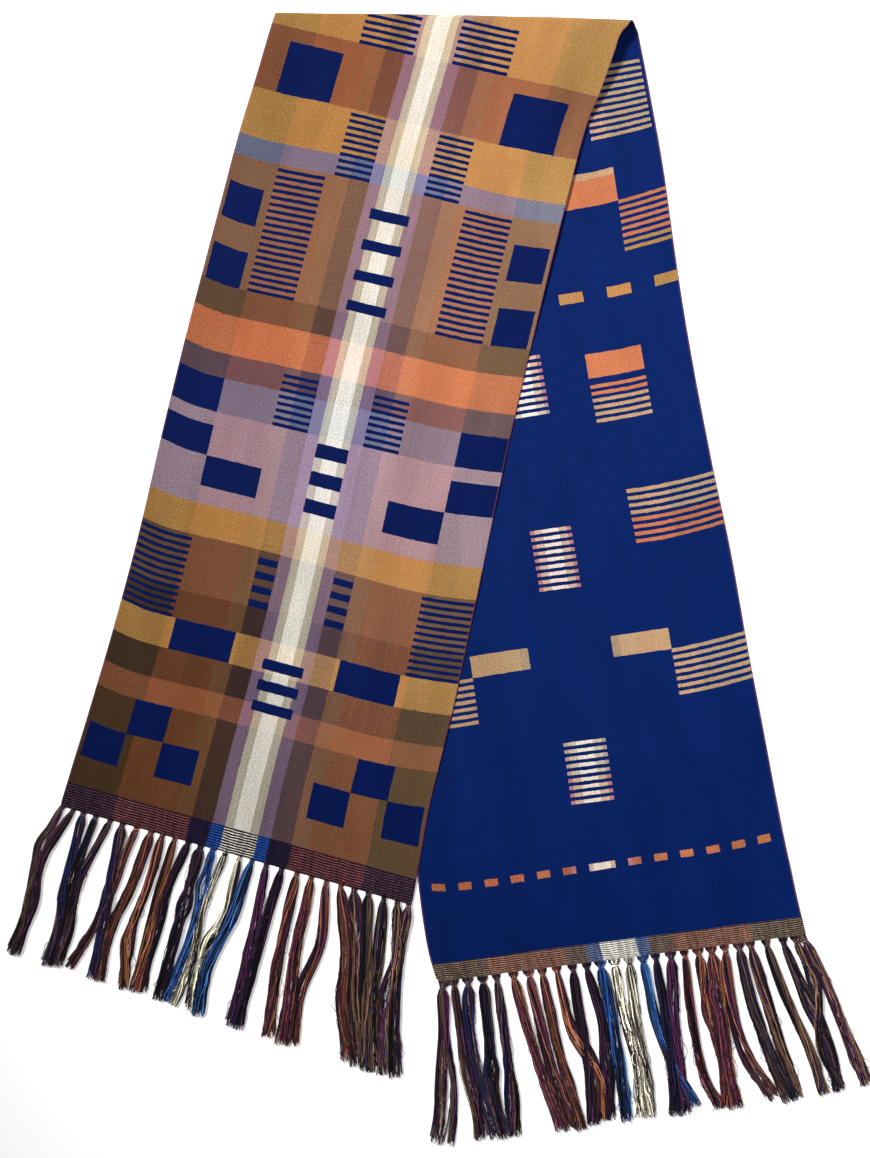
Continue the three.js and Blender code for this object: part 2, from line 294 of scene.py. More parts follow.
# Rows wander up and down too, in the product of two waves.
WANDER = {"rise": 1.3, "first": 47, "lean": 2.6, "second": 113, "phase": 1.7}
# All this fades out towards the hems, and the bow also towards the fold.
STRAIGHT = {"hem": 70, "fold": 60, "fold_ramp": 200}


def past_side(side, from_side):
    """0 up to from_side, and 1 at the selvedge."""
    return np.clip((side - from_side) / (1 - from_side), 0, 1)


def weft_bow(side, travel):
    """How far a weft thread has moved towards the fold, which is up either leaf."""
    right = past_side(side, BOW["from_side"]) ** BOW["power"]
    left = LEFT_BOW["share"] * past_side(-side, LEFT_BOW["from_side"]) ** LEFT_BOW["power"]
    dip = DIP["share"] * np.exp(-(((side - DIP["side"]) / DIP["spread"]) ** 2))
    off_hem = 1 - ease(np.minimum(travel, total - travel) / STRAIGHT["hem"])
    from_fold = np.abs(travel - fold_travel)
    off_fold = 1 - ease((from_fold - STRAIGHT["fold"]) / STRAIGHT["fold_ramp"])
    toward_fold = np.where(travel < fold_travel, 1, -1)
    bow = toward_fold * BOW["rise"] * (right - dip + left) * off_hem * off_fold
    waves = np.sin(travel / WANDER["first"] + WANDER["lean"] * side)
    waves = waves * np.sin(travel / WANDER["second"] + WANDER["phase"])
    return bow + WANDER["rise"] * waves * off_hem


print("the weft bows up by", BOW["rise"], "mm at the right selvedge")

# %% Creases and waves
# A soft crease runs from one point of the cloth to another, given as millimetres from the
# middle and along the warp. Its height is below zero for a trough.
CREASES = [
    {"start": (-122, 790), "end": (-150, 668), "width": 15, "height": -2.2},
    {"start": (-98, 800), "end": (-120, 690), "width": 17, "height": 1.6},
    {"start": (-165, 760), "end": (-168, 640), "width": 16, "height": 1.4},
    {"start": (60, 842), "end": (95, 720), "width": 20, "height": -1.6},
    {"start": (118, 880), "end": (140, 760), "width": 18, "height": 1.5},
    {"start": (20, 700), "end": (30, 520), "width": 22, "height": 0.6},
    {"start": (-60, 600), "end": (-80, 420), "width": 24, "height": 0.6},
    {"start": (150, 560), "end": (158, 330), "width": 14, "height": 0.7},
    {"start": (-150, 380), "end": (-158, 180), "width": 16, "height": 0.6},
    {"start": (90, 260), "end": (118, 60), "width": 22, "height": 0.5},
    {"start": (140, 930), "end": (128, 1110), "width": 14, "height": 0.8},
    {"start": (95, 960), "end": (88, 1160), "width": 16, "height": 0.6},
    {"start": (120, 1200), "end": (132, 1420), "width": 20, "height": 0.5},
    {"start": (40, 1300), "end": (24, 1500), "width": 22, "height": 0.5},
    {"start": (150, 1500), "end": (160, 1720), "width": 15, "height": 0.6},
    {"start": (-20, 1520), "end": (-34, 1700), "width": 20, "height": 0.45},
]

# Long, low waves over the whole cloth: their lengths across and along, height and phase.
WAVES = [
    {"across": 96, "along": 420, "height": 0.22, "phase": 0.4},
    {"across": 61, "along": -350, "height": 0.16, "phase": 2.1},
    {"across": 240, "along": 150, "height": 0.16, "phase": 4.0},
    {"across": -170, "along": 96, "height": 0.10, "phase": 1.2},
]

CREASE_BEND = 6  # how far a crease bows out from the straight line between its ends
CREASE_FADE = 0.4  # the share of its length that each end of a crease fades over
AT_HEM = {"over": 30, "share": 0.35}  # near a hem, the cloth keeps this share of its waves


def crease_height(crease, across, travel):
    start = np.array(crease["start"], float)
    line = np.array(crease["end"], float) - start
    length = np.hypot(*line)
    along = ((across - start[0]) * line[0] + (travel - start[1]) * line[1]) / length
    off = ((across - start[0]) * line[1] - (travel - start[1]) * line[0]) / length
    bent = off + CREASE_BEND * np.sin(math.pi * along / length)
    fade = CREASE_FADE * length
    ends = (1 - ease(along / fade)) * (1 - ease((length - along) / fade))
    return crease["height"] * ends * np.exp(-((bent / crease["width"]) ** 2))


def wave_height(wave, across, travel):
    turns = across / wave["across"] + travel / wave["along"]
    return wave["height"] * (1 + np.sin(2 * math.pi * turns + wave["phase"]))


print(len(CREASES), "creases and", len(WAVES), "waves")

# %% The curl of the right selvedge, and all unevenness
# Down from the fold the upper leaf's right selvedge lifts a little, and shades the leaf below.
CURL = {"height": 3.2, "from_side": 0.78, "first": 40, "rise": 70, "last": 330, "fall": 160}


def curl(side, travel):
    """How far the selvedge lifts."""
    run = fold_travel - travel
    lifted = past_side(side, CURL["from_side"]) ** 2
    starts = 1 - ease((run - CURL["first"]) / CURL["rise"])
    ends = ease((run - CURL["last"] + CURL["fall"]) / CURL["fall"])
    return CURL["height"] * lifted * starts * ends


def unevenness(side, travel):
    """Height that creases, waves and the curl add to the cloth."""
    across = side * HALF_WIDTH
    raised = sum(wave_height(wave, across, travel) for wave in WAVES)
    raised = raised + sum(crease_height(crease, across, travel) for crease in CREASES)
    off_hem = 1 - ease(np.minimum(travel, total - travel) / AT_HEM["over"])
    return raised * mix(AT_HEM["share"], 1, off_hem) + curl(side, travel)


print("the right selvedge curls up by", CURL["height"], "mm")

# %% [markdown]
# ## The weaver's draft
#
# In double cloth a weaver draws the pattern in whole blocks: some warp threads wide and some
# weft threads high. In each block either the many-coloured layer or the navy one lies on the
# face, and the other lies on the reverse. A painted image could carry the pattern, but its edges
# would blur. So the mesh is drafted in the same way: its columns are blocks of warp and its rows
# are blocks of weft, a block's edge is always a mesh edge, and the colours of the two sets of
# threads are kept on each face of the mesh.

# %% Silk colours, as seen in daylight
COLOURS = {
    "navy": (4, 28, 84),
    "navy warp": (4, 25, 78),
    # Painted shade: the same navy, painted darker for the upper leaf.
    "navy in painted shade": (2, 18, 68),
    "white": (212, 208, 197),
    "pearl": (170, 164, 147),
    "lilac": (116, 96, 122),
    "umber": (54, 38, 38),
    "dusk": (82, 64, 74),
    "ochre brown": (112, 76, 46),
    "rust": (112, 64, 38),
    "copper": (136, 86, 60),
    "olive": (62, 46, 29),
    "moss": (96, 76, 54),
    "olive brown": (60, 41, 25),
    "sienna": (132, 78, 52),
    "dark brown": (46, 32, 28),
    "ochre": (178, 132, 70),
    "brown": (92, 66, 50),
    "hazel": (132, 94, 72),
    "orange": (198, 112, 74),
    "lilac weft": (158, 136, 154),
    "slate": (96, 110, 142),
    "mauve": (80, 62, 82),
    "tan": (186, 160, 124),
    "selvedge": (104, 56, 76),
    "clay": (170, 124, 106),
    "maroon": (37, 13, 19),
    "purple": (24, 10, 21),
    "plum": (20, 13, 36),
    "rose": (134, 80, 84),
    "heather": (108, 74, 96),
    "black": (24, 20, 24),
    "blue": (28, 72, 140),
    "slate navy": (24, 36, 66),
    "stone": (128, 112, 102),
    "sand": (164, 142, 122),
    "chestnut": (62, 38, 31),
    "peat": (46, 34, 32),
    "strand cream": (226, 220, 196),
    "strand grey": (168, 160, 142),
    "strand rust": (146, 89, 62),
    "strand maroon": (90, 40, 50),
    "strand olive": (98, 72, 56),
    "strand purple": (68, 28, 64),
    "strand navy": (20, 22, 66),
    "strand black": (38, 22, 38),
    "strand blue": (22, 62, 124),
    "strand sky": (54, 100, 160),
}


def linear(name):
    """The colour as Blender's linear red, green and blue."""
    scaled = np.array(COLOURS[name], float) / 255
    curved = ((scaled + 0.055) / 1.055) ** 2.4
    return tuple(np.where(scaled > 0.04045, curved, scaled / 12.92).tolist())


print(len(COLOURS), "colours of silk")

# %% The stripes of the warp and the bands of the weft
BLOCKS_ACROSS = 84
BLOCKS_ALONG = 508

# Stripes of the warp from the middle out: colour on the left, colour on the right, width in
# blocks, and how much of it shows on the face. Where the two colours differ, the left one is
# painted darker: painted shade over the left of the cloth, which grows lighter to the right.
WARP_STRIPES = [
    ("white", "white", 2, 0.9),
    ("pearl", "pearl", 2, 0.8),
    ("lilac", "lilac", 3, 0.6),
    ("umber", "dusk", 5, 0.5),
    ("ochre brown", "hazel", 4, 0.5),
    ("rust", "copper", 14, 0.5),
    ("olive", "moss", 12, 0.5),
]

# The weft from the upper leaf's band, over the fold, to the lower leaf's band.
WEFT_BANDS = [
    ("olive brown", 28),
    ("sienna", 7),
    ("dark brown", 9),
    ("ochre", 9),
    ("dark brown", 8),
    ("brown", 16),
    ("ochre", 9),
    ("lilac weft", 27),
    ("slate", 10),
    ("mauve", 7),
    ("orange", 11),
    ("brown", 8),
    ("hazel", 38),
    ("slate", 6),
    ("ochre", 14),
    ("sienna", 19),
    ("ochre", 34),
    ("tan", 34),
    ("orange", 20),
    ("ochre", 20),
    ("orange", 22),
    ("tan", 36),
    ("orange", 30),
    ("tan", 40),
    ("orange", 46),
]


def spread(table, column, width_column):
    """The table's column, repeated over the blocks that each row is wide."""
    return np.concatenate([[row[column]] * row[width_column] for row in table])


def across_warp(table, left, right, width_column):
    """A value for each column of blocks, from the left selvedge to the right one."""
    return np.concatenate([spread(table, left, width_column)[::-1], spread(table, right, width_column)])


from_middle = np.abs(np.arange(BLOCKS_ACROSS) + 0.5 - BLOCKS_ACROSS / 2)
stripe_names = across_warp(WARP_STRIPES, 0, 1, 2)
stripe_share = across_warp(WARP_STRIPES, 3, 3, 2).astype(float)
band_names = spread(WEFT_BANDS, 0, 1)
print(len(stripe_names), "columns and", len(band_names), "rows of blocks")

# %% Figures: where the layers change places
# Each block's place: how many blocks from the middle, and how many from the upper band.
block_out, block_up = np.meshgrid(from_middle, np.arange(BLOCKS_ALONG) + 0.5)
swapped = np.zeros(block_out.shape, bool)


def inside(across, rows):
    between_columns = (block_out > across[0]) & (block_out < across[1])
    return between_columns & (block_up > rows[0]) & (block_up < rows[1])


def checks(across, rows, wide, high):
    """A chessboard whose cells are wide by high blocks."""
    cell = np.floor((block_out - across[0]) / wide) + np.floor((block_up - rows[0]) / high)
    return inside(across, rows) & (cell % 2 == 0)


def lines(across, rows, pitch=2):
    """Fine lines of one row, pitch rows apart."""
    return inside(across, rows) & (np.floor(block_up - rows[0]) % pitch == 0)


def bars(across, first, thick, step, count):
    """A stack of bars, each thick rows high, with their lower edges step rows apart."""
    rows = (first, first + step * (count - 1) + thick)
    return inside(across, rows) & ((block_up - first) % step < thick)


FIGURES = [
    checks((14, 41), (8, 28), 9, 10),
    bars((0, 5), 33, 3, 6, 3),
    inside((13, 28), (44, 53)),
    lines((29, 42), (53, 77)),
    bars((7, 12), 61, 2, 4, 4),
    checks((16, 42), (91, 109), 14, 9),
    bars((0, 4), 91, 4, 8, 3),
    lines((7, 16), (113, 129)),
    inside((30, 42), (113, 123)),
    lines((18, 30), (149, 187)),
    inside((32, 41), (149, 160)) | inside((32, 41), (168, 179)),
    bars((0, 5), 150, 3, 9, 4),
    lines((7, 16), (187, 207)),
    inside((22, 36), (207, 222)),
    lines((5, 19), (226, 240)),
    lines((26, 41), (262, 284)),
    inside((17, 30), (292, 302)),
    lines((30, 42), (302, 318)),
    checks((0, 42), (326, 329), 6, 3),
    bars((0, 5), 342, 1, 2, 9),
    inside((16, 30), (344, 351)) | bars((16, 30), 353, 1, 2, 6),
    bars((20, 42), 384, 1, 2, 8),
    bars((0, 5), 392, 1, 2, 9),
    inside((10, 24), (424, 430)),
    bars((24, 42), 430, 1, 2, 7),
    bars((0, 5), 452, 1, 2, 9),
    checks((0, 42), (486, 488), 3, 2),
]
for figure in FIGURES:
    swapped |= figure
print(f"navy takes {swapped[:240].mean():.0%} of the upper leaf")

# %% [markdown]
# ## A shell from a grid of points
#
# Cloth and bands are thin walls over a grid. A Solidify modifier could thicken a flat grid, but
# it would give both sides the same colours, and the two sides of double cloth differ. So one
# helper makes the wall: it moves the grid half a thickness to either side, joins the two along
# their edges, and keeps each face's thread colours as attributes and its place in the weave as a
# UV map in metres.


# %% The faces of a shell
def add_to_scene(name, data):
    item = bpy.data.objects.new(name, data)
    bpy.context.scene.collection.objects.link(item)
    return item


def grid_normals(points):
    across = np.gradient(points, axis=1)
    along = np.gradient(points, axis=0)
    normals = np.cross(across, along)
    return normals / np.linalg.norm(normals, axis=-1, keepdims=True)


def quads(first, second, third, fourth):
    return np.stack([first, second, third, fourth], axis=-1).reshape(-1, 4)


def wall_faces(over, under):
    """The upper and lower faces of the wall, its two long rims and its two end rims."""
    return [
        quads(over[:-1, :-1], over[:-1, 1:], over[1:, 1:], over[1:, :-1]),
        quads(under[:-1, :-1], under[1:, :-1], under[1:, 1:], under[:-1, 1:]),
        quads(over[:-1, 0], over[1:, 0], under[1:, 0], under[:-1, 0]),
        quads(over[1:, -1], over[:-1, -1], under[:-1, -1], under[1:, -1]),
        quads(under[0, :-1], under[0, 1:], over[0, 1:], over[0, :-1]),
        quads(over[-1, :-1], over[-1, 1:], under[-1, 1:], under[-1, :-1]),
    ]


sample = np.arange(6).reshape(2, 3)
sample_walls = wall_faces(sample, sample + sample.size)
print("a wall over a grid of 1 by 2 cells has", sum(map(len, sample_walls)), "faces")


# %% The shell helper
def shade_smooth(mesh, over, under, end_rim_faces):
    """Smooth but for the two end rims, whose edges stay sharp."""
    smooth = np.ones(len(mesh.polygons), bool)
    smooth[-end_rim_faces:] = False
    mesh.polygons.foreach_set("use_smooth", smooth)
    rim_points = np.concatenate([grid[row] for grid in (over, under) for row in (0, -1)])
    edge_ends = np.empty(len(mesh.edges) * 2, int)
    mesh.edges.foreach_get("vertices", edge_ends)
    sharp = mesh.attributes.new("sharp_edge", "BOOLEAN", "EDGE")
    sharp.data.foreach_set("value", np.isin(edge_ends, rim_points).reshape(-1, 2).all(axis=1))


def map_weave(mesh, weave, faces):
    """The place in the weave of each face's corners, as a UV map."""
    weave_map = mesh.uv_layers.new(name="weave")
    both_sides = np.concatenate([weave.reshape(-1, 2)] * 2) * MM
    weave_map.uv.foreach_set("vector", both_sides[faces.ravel()].astype(np.float32).ravel())


def colour_faces(mesh, attribute_name, face, back, rim, rim_faces):
    parts = [face.reshape(-1, 4), back.reshape(-1, 4), np.tile(rim, (rim_faces, 1))]
    layer = mesh.attributes.new(attribute_name, "FLOAT_COLOR", "FACE")
    layer.data.foreach_set("color", np.concatenate(parts).astype(np.float32).ravel())


def shell(name, points, thickness, weave, face_colours, back_colours, rim_colours):
    """A closed wall of silk over a grid of rows and columns. Colours are warp and weft grids."""
    half = thickness[..., None] / 2 * grid_normals(points)
    vertices = np.concatenate([(points + half).reshape(-1, 3), (points - half).reshape(-1, 3)])
    over = np.arange(thickness.size).reshape(thickness.shape)
    under = over + over.size
    walls = wall_faces(over, under)
    faces = np.concatenate(walls)
    mesh = bpy.data.meshes.new(name)
    mesh.from_pydata(vertices * MM, [], faces.tolist())
    shade_smooth(mesh, over, under, len(walls[4]) + len(walls[5]))
    map_weave(mesh, weave, faces)
    rim_faces = sum(len(wall) for wall in walls[2:])
    for index, thread in enumerate(("warp_colour", "weft_colour")):
        colours = (face_colours[index], back_colours[index], rim_colours[index])
        colour_faces(mesh, thread, *colours, rim_faces)
    mesh.update()
    print(name, len(faces) * 2, "triangles")
    return add_to_scene(name, mesh)


def rgba(name, share=0.5):
    """A thread's colour. Its fourth value is how much of the thread shows on the face."""
    return np.array([*linear(name), share])


print("rgba of navy:", rgba("navy").round(3))

# %% [markdown]
# ## The cloth
#
# The rows of the mesh are the draft's rows, and closer ones near the bend keep it round. A
# subdivided mesh would be smoother still, but would move the pattern's edges. Two narrow columns
# at each selvedge round the edge off and carry the colour of the weft where it turns back. A
# little chance in where the threads lie keeps the rows from looking ruled.

# %% Rows and columns of the cloth's mesh
SELVEDGE_WIDTH = 1.5
SELVEDGE_CUTS = (0.3, 1.0)  # columns at these shares of the selvedge's width
FINE_ROWS = (224, 262)  # blocks near the bend, which are cut in two
BEAT = {"seed": 5, "along": 0.15, "across": 0.12, "calm_edge": 4}  # of the threads' unevenness

row_cuts = np.arange(BLOCKS_ALONG + 1, dtype=float)
fine_cuts = np.arange(*FINE_ROWS) + 0.5
row_cuts = np.sort(np.concatenate([row_cuts, fine_cuts]))
column_cuts = np.linspace(-1, 1, BLOCKS_ACROSS + 1)
selvedge_share = SELVEDGE_WIDTH / HALF_WIDTH
edge_cuts = 1 - selvedge_share * np.array(SELVEDGE_CUTS)
column_cuts = np.sort(np.concatenate([column_cuts, edge_cuts, -edge_cuts]))
side_grid, travel_grid = np.meshgrid(column_cuts, row_cuts)
print(len(row_cuts) - 1, "rows and", len(column_cuts) - 1, "columns of faces")

# %% The points of the cloth
weave_grid = np.stack([side_grid * HALF_WIDTH, travel_grid / BLOCKS_ALONG * total], axis=-1)
travel_grid = travel_grid / BLOCKS_ALONG * cloth_length(side_grid)
travel_grid = travel_grid + weft_bow(side_grid, travel_grid)
beat = np.random.default_rng(BEAT["seed"])
inner = np.clip((1 - np.abs(side_grid)) * HALF_WIDTH / BEAT["calm_edge"], 0, 1)
inner[[0, -1]] = 0
travel_grid = travel_grid + beat.normal(0, BEAT["along"], travel_grid.shape) * inner
side_grid = side_grid + beat.normal(0, BEAT["across"], side_grid.shape) * inner / HALF_WIDTH
cloth_points = cloth_middle(side_grid, travel_grid)
cloth_points[..., 2] += unevenness(side_grid, travel_grid)
print("the cloth's highest point lies", round(float(cloth_points[..., 2].max()), 1), "mm up")

# %% The colours of each cell
cell_row = ((row_cuts[:-1] + row_cuts[1:]) / 2).astype(int)
cell_middle = (column_cuts[:-1] + column_cuts[1:]) / 2
cell_column = ((cell_middle + 1) / 2 * BLOCKS_ACROSS).astype(int)
at_selvedge = np.abs(cell_middle) > 1 - selvedge_share

plaid_warp = np.array([rgba(name, share) for name, share in zip(stripe_names, stripe_share)])
plaid_weft = np.array([rgba(name) for name in band_names])
warp_cells = np.broadcast_to(plaid_warp[cell_column][None], (len(cell_row), len(cell_column), 4))
weft_cells = np.broadcast_to(plaid_weft[cell_row][:, None], warp_cells.shape)
on_reverse = swapped[np.ix_(cell_row, cell_column)][..., None]

# The navy that shows on the upper leaf is painted a shade darker than that of the lower one: painted
# shade on the same navy thread.
before_fold = (cell_row * total / BLOCKS_ALONG < fold_travel)[:, None, None]
navy_warp = np.where(before_fold, rgba("navy in painted shade"), rgba("navy warp"))
navy_weft = np.where(before_fold, rgba("navy in painted shade"), rgba("navy"))


def layer_colours(navy_here):
    """The warp and weft colours of a side of the cloth, navy in some of its cells."""
    warp = np.where(navy_here, navy_warp, warp_cells)
    weft = np.where(navy_here, navy_weft, weft_cells)
    warp = np.where(at_selvedge[None, :, None], rgba("selvedge"), warp)
    return warp, weft


print(f"navy shows in {on_reverse.mean():.0%} of the cells of the many-coloured side")

# %% The cloth's shell
EDGE_THICKNESS = 0.5
EDGE_SHARE = 0.15  # of the selvedge's width, where the cloth has that thickness

at_edge = np.abs(side_grid) > 1 - selvedge_share * EDGE_SHARE
cloth = shell(
    "cloth",
    cloth_points,
    np.where(at_edge, EDGE_THICKNESS, THICKNESS),
    weave_grid,
    layer_colours(on_reverse),
    layer_colours(~on_reverse),
    (rgba("selvedge"), rgba("selvedge")),
)

# %% [markdown]
# ## Woven silk
#
# Up close the cloth is a plain weave, in which warp and weft threads pass over each other in
# turn. An image of a weave would repeat and would need a file of its own, so the threads are
# worked out in the material. The product of two sine waves rises and dips in just that
# chessboard, so it both picks which thread shows and lifts it. Long noise, stretched along each
# set of threads, makes some of them a little lighter, as hand-dyed silk always is.


# %% Helpers for node trees
def add_node(tree, kind, inputs=None, **settings):
    """A node with its settings made and its inputs linked, or set to plain values."""
    node = tree.nodes.new(kind)
    for name, value in settings.items():
        setattr(node, name, value)
    for name, value in (inputs or {}).items():
        if isinstance(value, bpy.types.NodeSocket):
            tree.links.new(value, node.inputs[name])
        else:
            node.inputs[name].default_value = value
    return node


def maths(tree, operation, *values, clamp=False):
    inputs = dict(enumerate(values))
    node = add_node(tree, "ShaderNodeMath", inputs, operation=operation, use_clamp=clamp)
    return node.outputs[0]


def remap(tree, value, source, result, **settings):
    """The value moved from one range to another."""
    inputs = {"Value": value, "From Min": source[0], "From Max": source[1]}
    inputs.update({"To Min": result[0], "To Max": result[1]})
    return add_node(tree, "ShaderNodeMapRange", inputs, **settings).outputs[0]


def blend_colours(tree, share, first, second):
    inputs = {"Factor": share, 6: first, 7: second}  # inputs 6 and 7 are the two colours
    return add_node(tree, "ShaderNodeMix", inputs, data_type="RGBA").outputs[2]


def tone(tree, colour, scale):
    """The colour made lighter or darker."""
    inputs = {0: colour, "Scale": scale}
    return add_node(tree, "ShaderNodeVectorMath", inputs, operation="SCALE").outputs[0]


def attribute(tree, name):
    """The outputs of an attribute that the mesh carries."""
    return add_node(tree, "ShaderNodeAttribute", attribute_name=name).outputs


# %% Helpers for silk
NOISE_MIDDLE = (0.3, 0.7)  # most of a noise lies between these
RELIEF = {"Distance": 0.12 * MM, "Strength": 0.8}  # of single threads, as a bump


def new_material(name):
    material = bpy.data.materials.new(name)
    material.use_nodes = True
    tree = material.node_tree
    return material, tree, tree.nodes["Principled BSDF"]


def set_shader(shader, **inputs):
    """Set inputs that stay the same all over, named with _ for a space."""
    for name, value in inputs.items():
        shader.inputs[name.replace("_", " ")].default_value = value


def stretched_noise(tree, x, y, scale_x, scale_y, detail=2.0):
    """Noise from 0 to 1 over the weave, with its own scale, per millimetre, each way."""
    moved = {"X": maths(tree, "MULTIPLY", x, scale_x), "Y": maths(tree, "MULTIPLY", y, scale_y)}
    place = add_node(tree, "ShaderNodeCombineXYZ", moved).outputs[0]
    inputs = {"Vector": place, "Scale": 1.0, "Detail": detail}
    return add_node(tree, "ShaderNodeTexNoise", inputs).outputs["Fac"]


def weave_place(tree):
    """Millimetres from the middle of the cloth, and along the warp."""
    uv = add_node(tree, "ShaderNodeUVMap", uv_map="weave")
    parts = add_node(tree, "ShaderNodeSeparateXYZ", {"Vector": uv.outputs[0]}).outputs
    return [maths(tree, "MULTIPLY", parts[axis], 1 / MM) for axis in ("X", "Y")]


def varied(tree, colour, noise, amount):
    """The colour made lighter and darker by noise, evenly about 1."""
    swing = remap(tree, noise, NOISE_MIDDLE, (1 - amount, 1 + amount), clamp=False)
    return tone(tree, colour, swing)


def streaked(tree, colour, x, y, streaks):
    """The colour varied over x and y. The streaks give how much, and the noise's scales."""
    noise = stretched_noise(tree, x, y, *streaks["scales"], streaks.get("detail", 2.0))
    return varied(tree, colour, noise, streaks["amount"])


def add_relief(tree, shader, height):
    inputs = {"Height": height, **RELIEF}
    bump = add_node(tree, "ShaderNodeBump", inputs)
    tree.links.new(bump.outputs[0], shader.inputs["Normal"])


print("helpers for silk are ready, with a relief of", RELIEF["Distance"] / MM, "mm")


# %% The woven silk material
THREAD_PITCH = 0.72
CLOTH_FINISH = {
    "crossing": 0.9,  # how clearly the chessboard of threads shows
    "speckle": 1.4,  # how far chance decides which thread shows
    "speckle_scale": 0.72,
    "speckle_relief": 0.5,
    "warp_streaks": {"amount": 0.1, "scales": (0.7, 0.01)},
    "weft_streaks": {"amount": 0.07, "scales": (0.012, 0.7)},
    "grain": {"amount": 0.24, "scales": (0.68, 0.68)},
    "clouds": {"amount": 0.12, "scales": (0.03, 0.008), "detail": 3.0},
    "roughness": (0.5, 0.68),
    "specular": 0.03,
}


def chessboard(tree, across, along):
    """Waves of the warp times waves of the weft, from -1 to 1."""
    turn = math.pi / THREAD_PITCH
    waves = [maths(tree, "SINE", maths(tree, "MULTIPLY", place, turn)) for place in (across, along)]
    return maths(tree, "MULTIPLY", *waves)


def woven_silk():
    material, tree, shader = new_material("woven_silk")
    finish = CLOTH_FINISH
    across, along = weave_place(tree)
    warp = attribute(tree, "warp_colour")
    weft = attribute(tree, "weft_colour")
    crossing = chessboard(tree, across, along)
    scale = finish["speckle_scale"]
    speckle = stretched_noise(tree, across, along, scale, scale)
    chance = maths(tree, "SUBTRACT", speckle, 0.5)
    uneven = maths(tree, "MULTIPLY_ADD", chance, finish["speckle"], warp["Alpha"])
    shown = maths(tree, "MULTIPLY_ADD", crossing, finish["crossing"], uneven, clamp=True)
    warp_tint = streaked(tree, warp["Color"], across, along, finish["warp_streaks"])
    weft_tint = streaked(tree, weft["Color"], across, along, finish["weft_streaks"])
    threads = blend_colours(tree, shown, weft_tint, warp_tint)
    grained = streaked(tree, threads, along, across, finish["grain"])
    clouded = streaked(tree, grained, across, along, finish["clouds"])
    tree.links.new(clouded, shader.inputs["Base Color"])
    lift = maths(tree, "ABSOLUTE", crossing)
    relief = maths(tree, "MULTIPLY_ADD", speckle, finish["speckle_relief"], lift)
    add_relief(tree, shader, relief)
    tree.links.new(remap(tree, speckle, (0, 1), finish["roughness"]), shader.inputs["Roughness"])
    set_shader(shader, Specular_IOR_Level=finish["specular"])
    return material


cloth.data.materials.append(woven_silk())
print("woven silk, threads", THREAD_PITCH, "mm apart")

# %% [markdown]
# ## The end bands
#
# Each end finishes in a firm band, 21 to 26 mm deep, woven with a thicker weft, so that it stands
# in fine ribs. Below it the warp is drawn together into knots, and each knot pulls its stretch
# of the hem into a shallow scallop. A bump in the material would do for the ribs from above, but
# not from the side, and would leave the hem straight. So ribs and scallops are in the mesh.

# %% Tassels of each end
# A row for each tassel, in millimetres: where it leaves the hem, measured along it from its
# left corner, where it lies at the two distances of COURSE_AT and at its tip, and how far out
# it ends.
COURSE_AT = (56, 111)
UPPER_TASSELS = [
    (2, -8, -3, -7, 155),
    (14, -2, 1, -1, 155),
    (25, 27, 32, 31, 157),
    (38, 34, 35, 36, 156),
    (53, 42, 41, 42, 155),
    (66, 71, 77, 80, 157),
    (81, 74, 66, 54, 153),
    (96, 92, 84, 86, 157),
    (108, 108, 104, 113, 158),
    (121, 121, 122, 125, 158),
    (135, 127, 129, 131, 156),
    (148, 149, 149, 150, 159),
    (161, 162, 162, 157, 158),
    (174, 168, 171, 165, 160),
    (189, 189, 179, 181, 161),
    (202, 198, 190, 192, 164),
    (217, 222, 225, 226, 164),
    (233, 232, 233, 232, 166),
    (249, 252, 257, 265, 166),
    (264, 268, 273, 281, 169),
    (280, 290, 285, 289, 167),
    (295, 316, 328, 349, 165),
    (309, 329, 340, 360, 168),
    (324, 338, 352, 370, 170),
    (340, 349, 357, 377, 169),
    (354, 370, 381, 400, 168),
    (366, 369, 371, 387, 169),
]
LOWER_TASSELS = [
    (4, -1, -6, -17, 157),
    (16, 17, 22, 23, 157),
    (30, 25, 30, 38, 157),
    (45, 44, 42, 48, 159),
    (59, 60, 59, 58, 159),
    (76, 83, 95, 103, 158),
    (92, 97, 105, 112, 159),
    (105, 109, 117, 123, 160),
    (120, 127, 148, 145, 154),
    (136, 137, 138, 137, 157),
    (150, 158, 158, 153, 154),
    (164, 169, 170, 171, 157),
    (178, 180, 187, 184, 155),
    (193, 192, 194, 193, 156),
    (207, 211, 223, 241, 152),
    (220, 221, 221, 217, 158),
    (235, 231, 228, 228, 159),
    (249, 248, 250, 264, 156),
    (263, 266, 272, 271, 158),
    (276, 277, 277, 280, 159),
    (290, 288, 298, 319, 154),
    (304, 309, 320, 334, 158),
    (316, 324, 333, 343, 157),
    (332, 344, 360, 369, 156),
    (349, 363, 381, 383, 155),
    (362, 376, 372, 387, 152),
    (371, 388, 402, 411, 152),
]


def hem_frame(leaf):
    """The hem's left corner, its direction, the way out from it, and its width."""
    ends = np.array([-1.0, 1.0])
    left, right = leaf_place(leaf, ends, warp_length(leaf, ends))
    width = float(np.hypot(*(right - left)))
    along = (right - left) / width
    return {"left": left, "along": along, "out": turned_down(along), "width": width}


upper_hem = hem_frame(upper_leaf)
lower_hem = hem_frame(lower_leaf)
print(f"hems {upper_hem['width']:.0f} and {lower_hem['width']:.0f} mm wide")

# %% The stripes and ribs of the bands
RIBS = 10
STEPS_PER_RIB = 5
BAND_COLUMNS = 270
BAND_WALL = 0.75  # the band's thickness between two ribs
RIB_HEIGHT = 0.26

